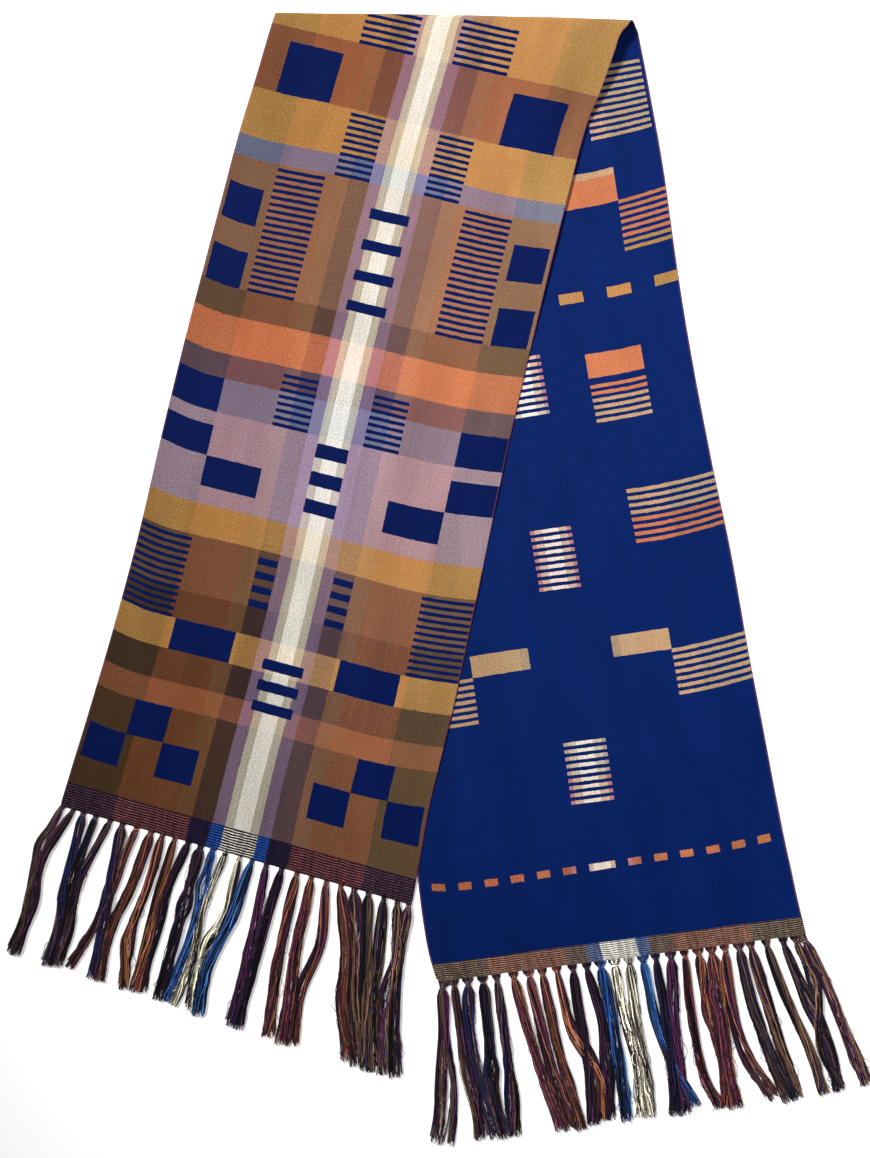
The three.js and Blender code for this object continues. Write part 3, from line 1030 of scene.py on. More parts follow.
# Stripes of the band from the middle out: its warp, which shows as fine lines, its width in
# blocks, the ground between the lines, and how much of a rib the line takes.
UPPER_BAND = [
    ("white", 4, "black", 0.28),
    ("blue", 3, "navy", 0.36),
    ("plum", 5, "plum", 0.3),
    ("rose", 18, "maroon", 0.21),
    ("heather", 12, "purple", 0.15),
]
LOWER_BAND = [
    ("white", 4, "black", 0.64),
    ("slate", 3, "slate navy", 0.4),
    ("stone", 5, "umber", 0.28),
    ("clay", 18, "chestnut", 0.25),
    ("sand", 12, "peat", 0.19),
]

# The knots draw the hem back over this reach. Half way between two of them it is drawn back by
# the whole scallop, and next to one it moves this share of the way towards it.
DRAWN = {"reach": 7, "half_gap": 7, "share": 0.26}
BEATEN_TOP = 4  # over this depth, ribs run level where the band meets the cloth
CALM_RIBS = 0.6  # how much the ribs straighten at the hem

# Ribs stray a little: in a slow wave whose pace swings, and in short waves, each with its rise,
# its length along the band and its length down it.
SLOW_STRAY = {"rise": 0.3, "length": 6.3, "swing": 1.8, "swing_length": 23}
SHORT_STRAYS = [(0.16, 2.1, 3), (0.14, 3.7, -2)]


def rib_stray(along, depth):
    """How far a rib strays up or down."""
    swing = SLOW_STRAY["swing"] * np.sin(along / SLOW_STRAY["swing_length"])
    stray = SLOW_STRAY["rise"] * np.sin(along / SLOW_STRAY["length"] + swing)
    for rise, length, length_down in SHORT_STRAYS:
        stray = stray + rise * np.sin(along / length + depth / length_down)
    return stray


print("ribs lie", upper_leaf["band"] / RIBS, "and", lower_leaf["band"] / RIBS, "mm apart")


# %% The band's mesh
def draw_hem(place, depth, leaf, hem, tassels, scallop):
    """Places in the band, drawn towards the knots. Also gives the pull and the way along."""
    along = (place - hem["left"]) @ hem["along"]
    roots = np.array([row[0] for row in tassels], float)
    nearest = roots[np.abs(along[..., None] - roots).argmin(-1)]
    pull = ease((leaf["band"] - depth) / DRAWN["reach"])
    gap = np.clip(np.abs(along - nearest) / DRAWN["half_gap"], 0, 1)
    place = place - (scallop * pull * gap)[..., None] * hem["out"]
    place = place + (DRAWN["share"] * pull * (nearest - along))[..., None] * hem["along"]
    return place, pull, along


def band_colours(stripes, rows):
    """Warp and weft colours of the band's cells. A stripe's last value is its line's share."""
    column = ((np.arange(BAND_COLUMNS) + 0.5) / BAND_COLUMNS * BLOCKS_ACROSS).astype(int)
    warp_names, ground_names, shares = (
        across_warp(stripes, field, field, 1)[column] for field in (0, 2, 3)
    )
    warp = np.array([rgba(name, float(share)) for name, share in zip(warp_names, shares)])
    ground = np.array([rgba(name) for name in ground_names])
    return [np.broadcast_to(colour[None], (rows, BAND_COLUMNS, 4)) for colour in (warp, ground)]


def band(name, leaf, hem, tassels, stripes, height_at, scallop):
    """The woven band of one end. Between two knots the hem draws back, as deep as the scallop."""
    rows = RIBS * STEPS_PER_RIB
    pitch = leaf["band"] / RIBS
    sides = np.linspace(-1, 1, BAND_COLUMNS + 1)
    side, depth = np.meshgrid(sides, np.linspace(0, leaf["band"], rows + 1))
    run = warp_length(leaf, side) - leaf["band"] + depth
    flat_place = leaf_place(leaf, side, run)
    place, pull, along = draw_hem(flat_place, depth, leaf, hem, tassels, scallop)
    calm = (1 - CALM_RIBS * pull) * (1 - ease(depth / BEATEN_TOP))
    beaten = depth + rib_stray(along, depth) * calm
    ribbed = 0.5 - 0.5 * np.cos(2 * math.pi * beaten / pitch)
    base = height_at(side, run, place)
    points = np.concatenate([place, (base + WALL / 2)[..., None]], axis=-1)
    thickness = BAND_WALL + RIB_HEIGHT * 2 * ribbed
    weave = np.stack([side * HALF_WIDTH, beaten / pitch], axis=-1)
    colours = band_colours(stripes, rows)
    rim = (rgba("purple"), rgba("purple"))
    flip = slice(None, None, -1)  # the rows run the other way, so that the faces point outwards
    return shell(name, points[flip], thickness[flip], weave[flip], colours, colours, rim)


def lower_height(side, run, place):
    """The lower leaf lies on the floor."""
    return 0 * side


upper_end = (upper_leaf, upper_hem, UPPER_TASSELS)
lower_end = (lower_leaf, lower_hem, LOWER_TASSELS)
end_band_upper = band("end_band_upper", *upper_end, UPPER_BAND, upper_height, 0.5)
end_band_lower = band("end_band_lower", *lower_end, LOWER_BAND, lower_height, 3.0)

# %% [markdown]
# ## The bands' finish
#
# In a band the thick weft hides most of the warp, which only shows as a fine line on each rib.
# Each line could be a mesh of its own, but it lies in the cloth and is no thicker. So a cosine
# of the rib's number draws the lines in the material, and noise breaks them up as thread does.

# %% The ribbed silk material
BAND_FINISH = {
    "rib": 1.5,  # how sharply a line stands out from the ground
    "line": 3.7,  # how much a stripe's own share widens its lines
    "broken": 2.0,  # how much noise breaks them up
    "broken_scales": (0.75, 0.9),
    "bare": -2.35,  # the lower this is, the more ground shows
    "warp_streaks": {"amount": 0.5, "scales": (0.3, 0.08)},
    "ground_streaks": {"amount": 0.5, "scales": (0.1, 0.36)},
    "grain": 0.2,
    "grain_scales": (1.3, 3.0, 3.0),  # each way, and its detail
    "cross_pitch": 0.8,  # from one warp thread to the next
    "roughness": 0.62,
    "specular": 0.08,
}


def rib_lines(tree, along, rib_count, share):
    """1 on a rib's line and 0 beside it."""
    rib = maths(tree, "COSINE", maths(tree, "MULTIPLY", rib_count, 2 * math.pi))
    noise = stretched_noise(tree, along, rib_count, *BAND_FINISH["broken_scales"])
    bare = maths(tree, "MULTIPLY_ADD", noise, BAND_FINISH["broken"], BAND_FINISH["bare"])
    threshold = maths(tree, "MULTIPLY_ADD", share, BAND_FINISH["line"], bare)
    return maths(tree, "MULTIPLY_ADD", rib, BAND_FINISH["rib"], threshold, clamp=True)


def ribbed_silk():
    material, tree, shader = new_material("ribbed_silk")
    finish = BAND_FINISH
    along, rib_count = weave_place(tree)
    warp = attribute(tree, "warp_colour")
    weft = attribute(tree, "weft_colour")
    line = rib_lines(tree, along, rib_count, warp["Alpha"])
    warp_tint = streaked(tree, warp["Color"], along, rib_count, finish["warp_streaks"])
    ground = streaked(tree, weft["Color"], rib_count, along, finish["ground_streaks"])
    threads = blend_colours(tree, line, ground, warp_tint)
    grain = stretched_noise(tree, along, rib_count, *finish["grain_scales"])
    tree.links.new(varied(tree, threads, grain, finish["grain"]), shader.inputs["Base Color"])
    turn = maths(tree, "MULTIPLY", along, math.pi / finish["cross_pitch"])
    cross = maths(tree, "ABSOLUTE", maths(tree, "SINE", turn))
    add_relief(tree, shader, maths(tree, "ADD", cross, grain))
    set_shader(shader, Roughness=finish["roughness"], Specular_IOR_Level=finish["specular"])
    return material


band_finish = ribbed_silk()
for piece in (end_band_upper, end_band_lower):
    piece.data.materials.append(band_finish)
print("bands of", RIBS, "ribs")

# %% [markdown]
# ## Tassels
#
# A tassel is a bundle of warp ends, knotted close to the hem. Modelling each thread by hand
# would take for ever, and a hair system would not survive an export. Geometry Nodes make them
# instead: a guide line runs down the middle of each tassel and says how wide and how thick the
# bundle is there, and the tree lays many threads round it. Threads come in small strands of
# one colour, as they come off the loom.

# %% The tassels' sizes
GUIDE_POINTS = 27
NECK_POINTS = 5  # of those, the ones in the hem and the neck
HEM_INSIDE = 2.6
FLOOR_GAP = 0.3
THREADS = 66  # in a tassel
CORE = {"pale": 3, "dark": 8}  # thick threads in the heart of a pale and of a dark tassel
PALE_WITHIN = 0.075  # of the hem's half width, where the tassels are pale

# How far out the knots sit, half the width of hem that a tassel gathers, and how full its bundle
# is. Tassels from some way along the hem are flattened, and so look fuller. A forked tassel
# is as full, and parts into two.
UPPER_NECK = {"knot": 1.9, "gathers": 3.4, "fullness": 0.93, "full_from": 290, "forked": ()}
LOWER_NECK = {"knot": 3.6, "gathers": 6.3, "fullness": 1, "full_from": 400, "forked": (0,)}
FLATTENED = 0.35

# The bundle's half width and half thickness at distances beyond its knot.
BUNDLE_BEYOND = (0, 1.6, 4, 9, 38, 98, 143, 170)
BUNDLE_WIDE = (2.4, 3.1, 4.3, 5.3, 5.6, 5.8, 6.8, 8.2)
BUNDLE_THICK = (1.6, 1.9, 2.1, 2.0, 1.9, 1.6, 1.3, 1.1)
IN_HEM = {"out": (-HEM_INSIDE, -0.4), "thick": (0.25, 0.4)}


def bundle_profile(neck):
    """Distances out from the hem, with the bundle's half width and half thickness there."""
    out = (*IN_HEM["out"], *(neck["knot"] + np.array(BUNDLE_BEYOND)))
    wide = (neck["gathers"], neck["gathers"], *BUNDLE_WIDE)
    thick = (*IN_HEM["thick"], *BUNDLE_THICK)
    return out, wide, thick


print("a guide has", GUIDE_POINTS, "points, and a tassel", THREADS, "threads")


# %% A tassel's course and its bundle
# The ends of each range that a tassel's own values are drawn from.
SWAY = {"by": (0.3, 1.1), "length": (14, 22)}
SIZE = (0.86, 1.24)
SWELL = {"by": 0.16, "length": (13, 24)}
PHASE = (0, 6)
PART = {"from": (15, 90), "over": (35, 90), "by": (0.4, 1.1, 3.0)}
FORK = {"from": 45, "over": 60, "by": 5.5}
# Distances out from the hem over which one thing gives way to another.
FREE = {"from": 10, "over": 60}
FULL_SIZE_OVER = 12
ON_FLOOR_OVER = 40
LAYERED = {"by": 0.7, "from": 15, "over": 40}


def free_of_knot(out):
    """0 at the knot, and 1 where the tassel lies free."""
    return 1 - ease((out - FREE["from"]) / FREE["over"])


def tassel_course(out, tassel, neck, hem, draws):
    """How far along the hem the tassel lies, at each distance out from it."""
    root, near, far, tip, reach = tassel
    course = smooth_read([0, neck["knot"], *COURSE_AT, reach], [root, root, near, far, tip], out)
    gathered_at = np.clip(root, neck["gathers"], hem["width"] - neck["gathers"])
    course = mix(course, gathered_at, ease((out + 1) / 3))
    sway = draws.uniform(*SWAY["by"])
    length = draws.uniform(*SWAY["length"])
    phase = draws.uniform(*PHASE)
    return course + sway * free_of_knot(out) * np.sin(out / length + phase)


def bundle_width(out, index, tassel, neck, draws):
    """The bundle's half width. It swells a little here and there, and differs by tassel."""
    size = neck["fullness"] * draws.uniform(*SIZE)
    if tassel[0] > neck["full_from"] or index in neck["forked"]:
        size = size + FLATTENED
    length = draws.uniform(*SWELL["length"])
    phase = draws.uniform(*PHASE)
    swell = 1 + SWELL["by"] * np.sin(out / length + phase) * (1 - free_of_knot(out))
    profile_out, profile_wide, _ = bundle_profile(neck)
    below_knot = 1 - ease((out - neck["knot"]) / FULL_SIZE_OVER)
    return smooth_read(profile_out, profile_wide, out) * mix(1, size, below_knot) * swell


def bundle_parting(out, index, neck, draws):
    """How far the bundle's two halves lie from its middle."""
    first = draws.uniform(*PART["from"])
    stretch = draws.uniform(*PART["over"])
    amount = draws.choice(PART["by"])
    if index in neck["forked"]:
        return FORK["by"] * (1 - ease((out - FORK["from"]) / FORK["over"]))
    return amount * np.sin(math.pi * np.clip((out - first) / stretch, 0, 1)) ** 2


def bundle_height(out, index, thick, base):
    """The height of the bundle's middle: from the hem down to the floor, by turns a bit higher."""
    off_hem = 1 - ease((out - LAYERED["from"]) / LAYERED["over"])
    layered = (index % 2) * LAYERED["by"] * off_hem
    low = base * ease(out / ON_FLOOR_OVER) + FLOOR_GAP + layered + thick
    from_hem = mix(base + WALL / 2, low, np.clip((out + 1) / 4, 0, 1))
    return np.where(out < 3, from_hem, low)


print("sizes drawn from", SIZE, "times the bundle's own")


# %% Guide lines
def tassel_guide(leaf, hem, index, tassel, base, neck, draws):
    """The middle line of one tassel, with what the tree has to know at its points."""
    root, reach = tassel[0], tassel[4]
    profile_out, _, profile_thick = bundle_profile(neck)
    neck_out = profile_out[:NECK_POINTS]
    free_out = np.linspace(profile_out[NECK_POINTS], reach, GUIDE_POINTS - NECK_POINTS)
    out = np.concatenate([neck_out, free_out])
    course = tassel_course(out, tassel, neck, hem, draws)
    plan = hem["left"] + course[:, None] * hem["along"] + out[:, None] * hem["out"]
    wide = bundle_width(out, index, tassel, neck, draws)
    thick = smooth_read(profile_out, profile_thick, out)
    parting = bundle_parting(out, index, neck, draws)
    tangent = np.gradient(plan, axis=0)
    tangent = tangent / np.linalg.norm(tangent, axis=1, keepdims=True)
    zone = abs(2 * root / hem["width"] - 1)
    return {
        "points": np.column_stack([plan, bundle_height(out, index, thick, base)]),
        "wide": wide,
        "thick": thick,
        "parting": parting,
        "threads": THREADS,
        "core": CORE["pale"] if zone < PALE_WITHIN else CORE["dark"],
        "side_way": np.column_stack([-tangent[:, 1], tangent[:, 0], np.zeros(len(out))]),
        "lift_way": (0, 0, 1),
        "fray": np.clip(out / reach, 0, 1),
        "zone": zone,
    }


# The turn of a knot: a short helix of thread round the tassel's neck.
WRAP = {"turns": 1.7, "steps": 22, "out": (-0.9, 1.1), "wide": 2.5, "high": 1.35}
WRAP_BUNDLE = {"wide": 0.95, "thick": 0.4, "parting": 0, "threads": 12, "core": 0, "fray": 0}
WRAP_MIDDLE = {"share": 0.8, "above": 2.1}  # of the hem's height, and above that


def wrap_guide(hem, root, base, zone, neck, draws):
    first = draws.uniform(0, 3)
    angle = np.linspace(0, 2 * math.pi * WRAP["turns"], WRAP["steps"]) + first
    out = neck["knot"] + np.linspace(*WRAP["out"], WRAP["steps"])
    along = root + WRAP["wide"] * np.cos(angle)
    middle = base * WRAP_MIDDLE["share"] + FLOOR_GAP + WRAP_MIDDLE["above"]
    height = middle + WRAP["high"] * np.sin(angle)
    plan = hem["left"] + along[:, None] * hem["along"] + out[:, None] * hem["out"]
    outward = np.cos(angle)[:, None] * np.append(hem["along"], 0)
    outward = outward + np.sin(angle)[:, None] * np.array([0, 0, 1.0])
    return {
        "points": np.column_stack([plan, height]),
        "side_way": np.append(hem["out"], 0),
        "lift_way": outward,
        "zone": zone,
        **WRAP_BUNDLE,
    }


def end_guides(leaf, hem, tassels, height_at, neck, seed):
    """A guide for each tassel of an end, each followed by the one of its knot."""
    draws = np.random.default_rng(seed)
    length = warp_length(leaf, MIDDLE_SIDE)
    guides = []
    for index, tassel in enumerate(tassels):
        root = tassel[0]
        hem_place = (hem["left"] + root * hem["along"])[None]
        base = float(height_at(MIDDLE_SIDE, length, hem_place)[0])
        guide = tassel_guide(leaf, hem, index, tassel, base, neck, draws)
        guides.append(guide)
        guides.append(wrap_guide(hem, root, base, guide["zone"], neck, draws))
    print(len(tassels), "tassels and their knots")
    return guides


upper_guides = end_guides(*upper_end, upper_height, UPPER_NECK, 11)
lower_guides = end_guides(*lower_end, lower_height, LOWER_NECK, 12)

# %% [markdown]
# ## The tree that lays threads round a guide
#
# Real threads in a tassel lie in strands of two or three that wind round each other, and a few
# of them stray. The tree copies a guide once for each thread, gives each copy a place in the
# bundle's section by chance, with a fixed seed, and moves it there. Scattering short pieces of
# thread on a surface would be quicker, but they would not run from the knot to the tip.

# %% Helpers for the tree
STRAND_THREADS = 3.0  # threads in a strand
GUIDE_STRANDS = 40.0  # room for the numbers of a guide's strands

# Each draw has a number of its own, so that no draw repeats another.
DRAWS = {
    "strand_pick": 1,
    "shade": 2,
    "strand_angle": 3,
    "strand_out": 4,
    "thread_angle": 5,
    "thread_out": 6,
    "stray": 9,
    "cut": 12,
    "tassel_twist": 14,
    "strand_twist": 15,
    "way_apart": 17,
    "strand_shade": 21,
}

# So has each sway, together with how fast it changes along a thread.
SWAYS = {"strand": (3, 8.0), "thread": (5, 11.0), "lift": (9, 5.0), "gleam": (31, 13.0)}
SWAY_SPACING = 7.31  # between the courses of two threads in the noise


def given(tree, name):
    """One of the tree's named inputs."""
    return tree.nodes["Group Input"].outputs[name]


def named(tree, name, kind="FLOAT"):
    """A value that the guides or the threads carry."""
    node = add_node(tree, "GeometryNodeInputNamedAttribute", {"Name": name}, data_type=kind)
    return node.outputs["Attribute"]


def stored(tree, geometry, name, value, domain="CURVE"):
    inputs = {"Geometry": geometry, "Name": name, "Value": value}
    kind = "GeometryNodeStoreNamedAttribute"
    return add_node(tree, kind, inputs, data_type="FLOAT", domain=domain).outputs[0]


def chance(tree, identity, draw, low=0.0, high=1.0):
    """A number drawn for each thread, strand or guide that has its own identity."""
    seed = maths(tree, "ADD", given(tree, "Seed"), DRAWS[draw])
    inputs = {2: low, 3: high, "ID": identity, "Seed": seed}  # 2 and 3 are the range's ends
    return add_node(tree, "FunctionNodeRandomValue", inputs, data_type="FLOAT").outputs[1]


def blend(tree, share, first, second):
    return maths(tree, "MULTIPLY_ADD", share, maths(tree, "SUBTRACT", second, first), first)


def product(tree, *values):
    """The values multiplied together, in turn."""
    result = values[0]
    for value in values[1:]:
        result = maths(tree, "MULTIPLY", result, value)
    return result


def combined(tree, **parts):
    return add_node(tree, "ShaderNodeCombineXYZ", parts).outputs[0]


def waver(tree, sway, number, amount):
    """A slow sway along each thread or strand, with its own course for each number."""
    first_course, pace = SWAYS[sway]
    along = add_node(tree, "GeometryNodeSplineParameter").outputs["Factor"]
    course = maths(tree, "MULTIPLY_ADD", number, SWAY_SPACING, float(first_course))
    place = combined(tree, X=maths(tree, "MULTIPLY", along, pace), Y=course)
    inputs = {"Vector": place, "Scale": 1.0, "Detail": 1.0}
    noise = add_node(tree, "ShaderNodeTexNoise", inputs).outputs[0]
    return maths(tree, "MULTIPLY", maths(tree, "SUBTRACT", noise, 0.5), amount)


print(len(DRAWS), "draws and", len(SWAYS), "sways")


# %% Copying the guides
def copy_threads(tree):
    """A copy of each guide for each of its threads, with the thread's numbers."""
    index = add_node(tree, "GeometryNodeInputIndex").outputs[0]
    lines = add_node(tree, "GeometryNodeMeshToCurve", {"Mesh": given(tree, "Geometry")}).outputs[0]
    lines = stored(tree, lines, "guide", index)
    inputs = {"Geometry": lines, "Amount": named(tree, "threads")}
    copies = add_node(tree, "GeometryNodeDuplicateElements", inputs, domain="SPLINE").outputs
    threads = stored(tree, copies[0], "index_in_guide", copies["Duplicate Index"])
    index_in_guide = named(tree, "index_in_guide")
    strand_in_guide = maths(tree, "FLOOR", maths(tree, "DIVIDE", index_in_guide, STRAND_THREADS))
    number = maths(tree, "MULTIPLY_ADD", named(tree, "guide"), GUIDE_STRANDS, strand_in_guide)
    threads = stored(tree, threads, "strand", number)
    strand_pick = chance(tree, named(tree, "strand"), "strand_pick")
    threads = stored(tree, threads, "strand_pick", strand_pick)
    threads = stored(tree, threads, "shade", chance(tree, index, "shade"))
    strand_shade = chance(tree, named(tree, "strand"), "strand_shade")
    threads = stored(tree, threads, "strand_shade", strand_shade)
    in_core = maths(tree, "LESS_THAN", index_in_guide, named(tree, "core"))
    threads = stored(tree, threads, "in_core", in_core)
    return stored(tree, threads, "own", index)


# %% Places in the bundle's section
CORE_REACH = 0.78  # how far out the bundle's heart goes, as a share of its half width
CORE_LIFT = 0.2  # and how thick it is, as a share of the bundle
STRANDS_OUTWARD = 0.32  # the power of chance: below 0.5, more strands lie near the outside
THREADS_OUTWARD = 0.6


def twisted_angle(tree):
    """A strand's angle. The whole tassel turns, and each strand a little more."""
    strand = named(tree, "strand")
    tassel_twist = chance(tree, named(tree, "guide"), "tassel_twist", -1.0, 1.0)
    strand_twist = chance(tree, strand, "strand_twist", -0.5, 0.5)
    both = maths(tree, "ADD", tassel_twist, strand_twist)
    along = add_node(tree, "GeometryNodeSplineParameter").outputs["Factor"]
    turned = product(tree, both, given(tree, "Twist"), along)
    return maths(tree, "ADD", chance(tree, strand, "strand_angle", 0, 2 * math.pi), turned)


def section_place(tree, operation):
    """Where a thread lies in the section, from -1 to 1: its strand's place, then its own."""
    own = named(tree, "own")
    strand_chance = chance(tree, named(tree, "strand"), "strand_out")
    strand_out = maths(tree, "POWER", strand_chance, STRANDS_OUTWARD)
    strand_part = maths(tree, "MULTIPLY", strand_out, maths(tree, operation, twisted_angle(tree)))
    thread_out = maths(tree, "POWER", chance(tree, own, "thread_out"), THREADS_OUTWARD)
    thread_angle = chance(tree, own, "thread_angle", 0, 2 * math.pi)
    thread_part = maths(tree, "MULTIPLY", thread_out, maths(tree, operation, thread_angle))
    return blend(tree, given(tree, "Strand share"), thread_part, strand_part)


def core_side(tree):
    """The thick threads of the heart lie side by side, so that no floor shows through."""
    number = maths(tree, "ADD", named(tree, "index_in_guide"), 0.5)
    share = maths(tree, "DIVIDE", number, named(tree, "core"))
    return maths(tree, "MULTIPLY_ADD", share, 2 * CORE_REACH, -CORE_REACH)


def section_shares(tree):
    """A thread's place across and up, as shares of the bundle's half width and half thickness."""
    is_core = named(tree, "in_core")
    across = blend(tree, is_core, section_place(tree, "COSINE"), core_side(tree))
    up = maths(tree, "MULTIPLY", section_place(tree, "SINE"), blend(tree, is_core, 1.0, CORE_LIFT))
    return across, up


# %% Sway and parting
STRAY = {"beyond": 0.965, "more": 5.6, "least": 0.34}  # which threads stray, and how far
SWAY_AT_TIP = 5.0
SWAY_AT_KNOT = 0.1  # as a share of that at the tip
CORE_SWAY = 0.3
LIFT_SWAY = 0.3


def sway_sizes(tree):
    """How far a thread may sway: little near the knot, and most at the tip."""
    fray = maths(tree, "ADD", named(tree, "fray"), SWAY_AT_KNOT)
    sway = product(tree, given(tree, "Waver"), SWAY_AT_TIP, fray)
    drawn = chance(tree, named(tree, "own"), "stray")
    stray = maths(tree, "GREATER_THAN", drawn, STRAY["beyond"])
    reach = maths(tree, "MULTIPLY_ADD", stray, STRAY["more"], STRAY["least"])
    return sway, maths(tree, "MULTIPLY", sway, reach)


def parting(tree):
    """Strands choose a side to part to by chance, and those of the heart by where they lie."""
    is_core = named(tree, "in_core")
    core_way = product(tree, core_side(tree), is_core, 10.0)
    chosen = maths(tree, "SUBTRACT", chance(tree, named(tree, "strand"), "way_apart"), 0.5)
    way = maths(tree, "SIGN", maths(tree, "ADD", core_way, chosen))
    return product(tree, named(tree, "parting"), MM, way)


def sideways(tree, across):
    """How far a thread is moved across the tassel."""
    sway, own_sway = sway_sizes(tree)
    strand_sway = waver(tree, "strand", named(tree, "strand"), sway)
    thread_sway = waver(tree, "thread", named(tree, "own"), own_sway)
    both = maths(tree, "ADD", strand_sway, thread_sway)
    quieter = blend(tree, named(tree, "in_core"), 1.0, CORE_SWAY)
    both = maths(tree, "MULTIPLY_ADD", both, quieter, parting(tree))
    return maths(tree, "MULTIPLY_ADD", product(tree, across, named(tree, "wide")), MM, both)


def upwards(tree, up):
    """How far a thread is moved up."""
    sway, _ = sway_sizes(tree)
    lift_sway = product(tree, waver(tree, "lift", named(tree, "own"), sway), LIFT_SWAY)
    return maths(tree, "MULTIPLY_ADD", product(tree, up, named(tree, "thick")), MM, lift_sway)


# %% Moving and thickening the threads
CLEAR_OF_FLOOR = 0.05
SHORTEST = 0.945  # the uneven ends of the threads are cut to this share of the guide, or longer


def moved(tree, threads, across, up):
    """The threads moved to their places, and none of them into the floor."""
    ways = []
    for way, distance in (("side_way", sideways(tree, across)), ("lift_way", upwards(tree, up))):
        ways.append(tone(tree, named(tree, way, "FLOAT_VECTOR"), distance))
    both = add_node(tree, "ShaderNodeVectorMath", {0: ways[0], 1: ways[1]}, operation="ADD")
    inputs = {"Geometry": threads, "Offset": both.outputs[0]}
    threads = add_node(tree, "GeometryNodeSetPosition", inputs).outputs[0]
    position = add_node(tree, "GeometryNodeInputPosition").outputs[0]
    parts = add_node(tree, "ShaderNodeSeparateXYZ", {"Vector": position}).outputs
    lowest = maths(tree, "ADD", given(tree, "Thread radius"), CLEAR_OF_FLOOR * MM)
    height = maths(tree, "MAXIMUM", parts["Z"], lowest)
    inputs = {"Geometry": threads, "Position": combined(tree, X=parts["X"], Y=parts["Y"], Z=height)}
    return add_node(tree, "GeometryNodeSetPosition", inputs).outputs[0]


def thickened(tree, threads):
    """Threads of three sides, cut to uneven lengths, with thick ones in the heart."""
    inputs = {"Curve": threads, "End": chance(tree, named(tree, "own"), "cut", SHORTEST, 1.0)}
    threads = add_node(tree, "GeometryNodeTrimCurve", inputs, mode="FACTOR").outputs[0]
    inputs = {"Resolution": 3, "Radius": given(tree, "Thread radius")}
    section = add_node(tree, "GeometryNodeCurvePrimitiveCircle", inputs).outputs[0]
    size = blend(tree, named(tree, "in_core"), 1.0, given(tree, "Core size"))
    inputs = {"Curve": threads, "Profile Curve": section, "Scale": size, "Fill Caps": True}
    return add_node(tree, "GeometryNodeCurveToMesh", inputs).outputs[0]


# %% The whole tree
TREE_INPUTS = {
    "Thread radius": ("NodeSocketFloat", 0.36 * MM),
    "Core size": ("NodeSocketFloat", 2.9),
    "Strand share": ("NodeSocketFloat", 0.86),
    "Waver": ("NodeSocketFloat", 1.4 * MM),
    "Twist": ("NodeSocketFloat", 3.4),
    "Seed": ("NodeSocketInt", 3),
}


def thread_tree():
    tree = bpy.data.node_groups.new("threads_round_a_guide", "GeometryNodeTree")
    sockets = tree.interface
    sockets.new_socket("Geometry", in_out="INPUT", socket_type="NodeSocketGeometry")
    for name, (kind, _) in TREE_INPUTS.items():
        sockets.new_socket(name, in_out="INPUT", socket_type=kind)
    sockets.new_socket("Silk", in_out="INPUT", socket_type="NodeSocketMaterial")
    sockets.new_socket("Geometry", in_out="OUTPUT", socket_type="NodeSocketGeometry")
    tree.nodes.new("NodeGroupInput")
    across, up = section_shares(tree)
    threads = copy_threads(tree)
    # Each thread's height in the bundle, kept for the material, which paints shade on the low ones.
    threads = stored(tree, threads, "depth", up, domain="POINT")
    # Painted highlight: a slow sway along each thread, which the material turns into lighter and darker
    # stretches.
    gleam = waver(tree, "gleam", named(tree, "own"), 1.0)
    threads = stored(tree, threads, "gleam", gleam, domain="POINT")
    threads = moved(tree, threads, across, up)
    solid = thickened(tree, threads)
    whole = add_node(tree, "GeometryNodeRealizeInstances", {"Geometry": solid}).outputs[0]
    inputs = {"Geometry": whole, "Material": given(tree, "Silk")}
    finished = add_node(tree, "GeometryNodeSetMaterial", inputs).outputs[0]
    add_node(tree, "NodeGroupOutput", {"Geometry": finished})
    return tree


threads_tree = thread_tree()
print(len(threads_tree.nodes), "nodes in the tree of threads")

# %% [markdown]
# ## The fringe's finish
#
# The warp of each stripe runs on into the tassels below it, so a tassel mixes the few colours of
# its own stretch of the hem. A material for each colour would mean sorting the threads into
# meshes. One material can do it: it reads where the tassel sits and a number drawn for each
# strand, and picks one of three colours. It paints shade on threads deep in the bundle and on
# those of its heart, which it makes darker, and paints highlights on some threads in places.

# %% The fringe's colours
# From the middle of the hem out, as shares of its half width: three colours of strand in each.
FRINGE_ZONES = [
    (0.0, "strand cream", "strand black", "strand grey"),
    (PALE_WITHIN, "strand blue", "strand sky", "strand navy"),
    (0.155, "strand black", "strand navy", "strand purple"),
    (0.31, "strand rust", "strand purple", "strand maroon"),
    (0.6, "strand olive", "strand purple", "strand navy"),
]
STRAND_PICKS = (0.45, 0.74)  # above these, a strand takes the zone's second or third colour
FRINGE_FINISH = {
    "thread_tones": 0.5,
    "strand_tones": 0.3,
    # Painted shade: the heart's threads, and threads low in the bundle, are painted darker.
    "core": 0.4,  # how light the heart's threads are
    "depth": ((-0.8, 0.7), (0.34, 1.08)),
    # Painted highlight: gleam lightens and darkens stretches of thread.
    "gleam": ((-0.16, 0.16), (0.5, 1.75)),
    "roughness": 0.45,
    "specular": 0.3,
    "sheen": 0.05,
}


def zone_colour(tree, zone, column):
    """The colour of each zone of the fringe, from one column of its table."""
    ramp = add_node(tree, "ShaderNodeValToRGB", {"Fac": zone})
    ramp.color_ramp.interpolation = "CONSTANT"
    stops = ramp.color_ramp.elements
    while len(stops) < len(FRINGE_ZONES):
        stops.new(1.0)
    for stop, row in zip(stops, FRINGE_ZONES):
        stop.position = row[0]
        stop.color = (*linear(row[column]), 1)
    return ramp.outputs[0]


def strand_colour(tree, carried):
    """A strand's own colour, before light and shade."""
    first, second, third = (zone_colour(tree, carried["zone"], column) for column in (1, 2, 3))
    takes_second, takes_third = (
        maths(tree, "GREATER_THAN", carried["strand_pick"], pick) for pick in STRAND_PICKS
    )
    return blend_colours(tree, takes_third, blend_colours(tree, takes_second, first, second), third)


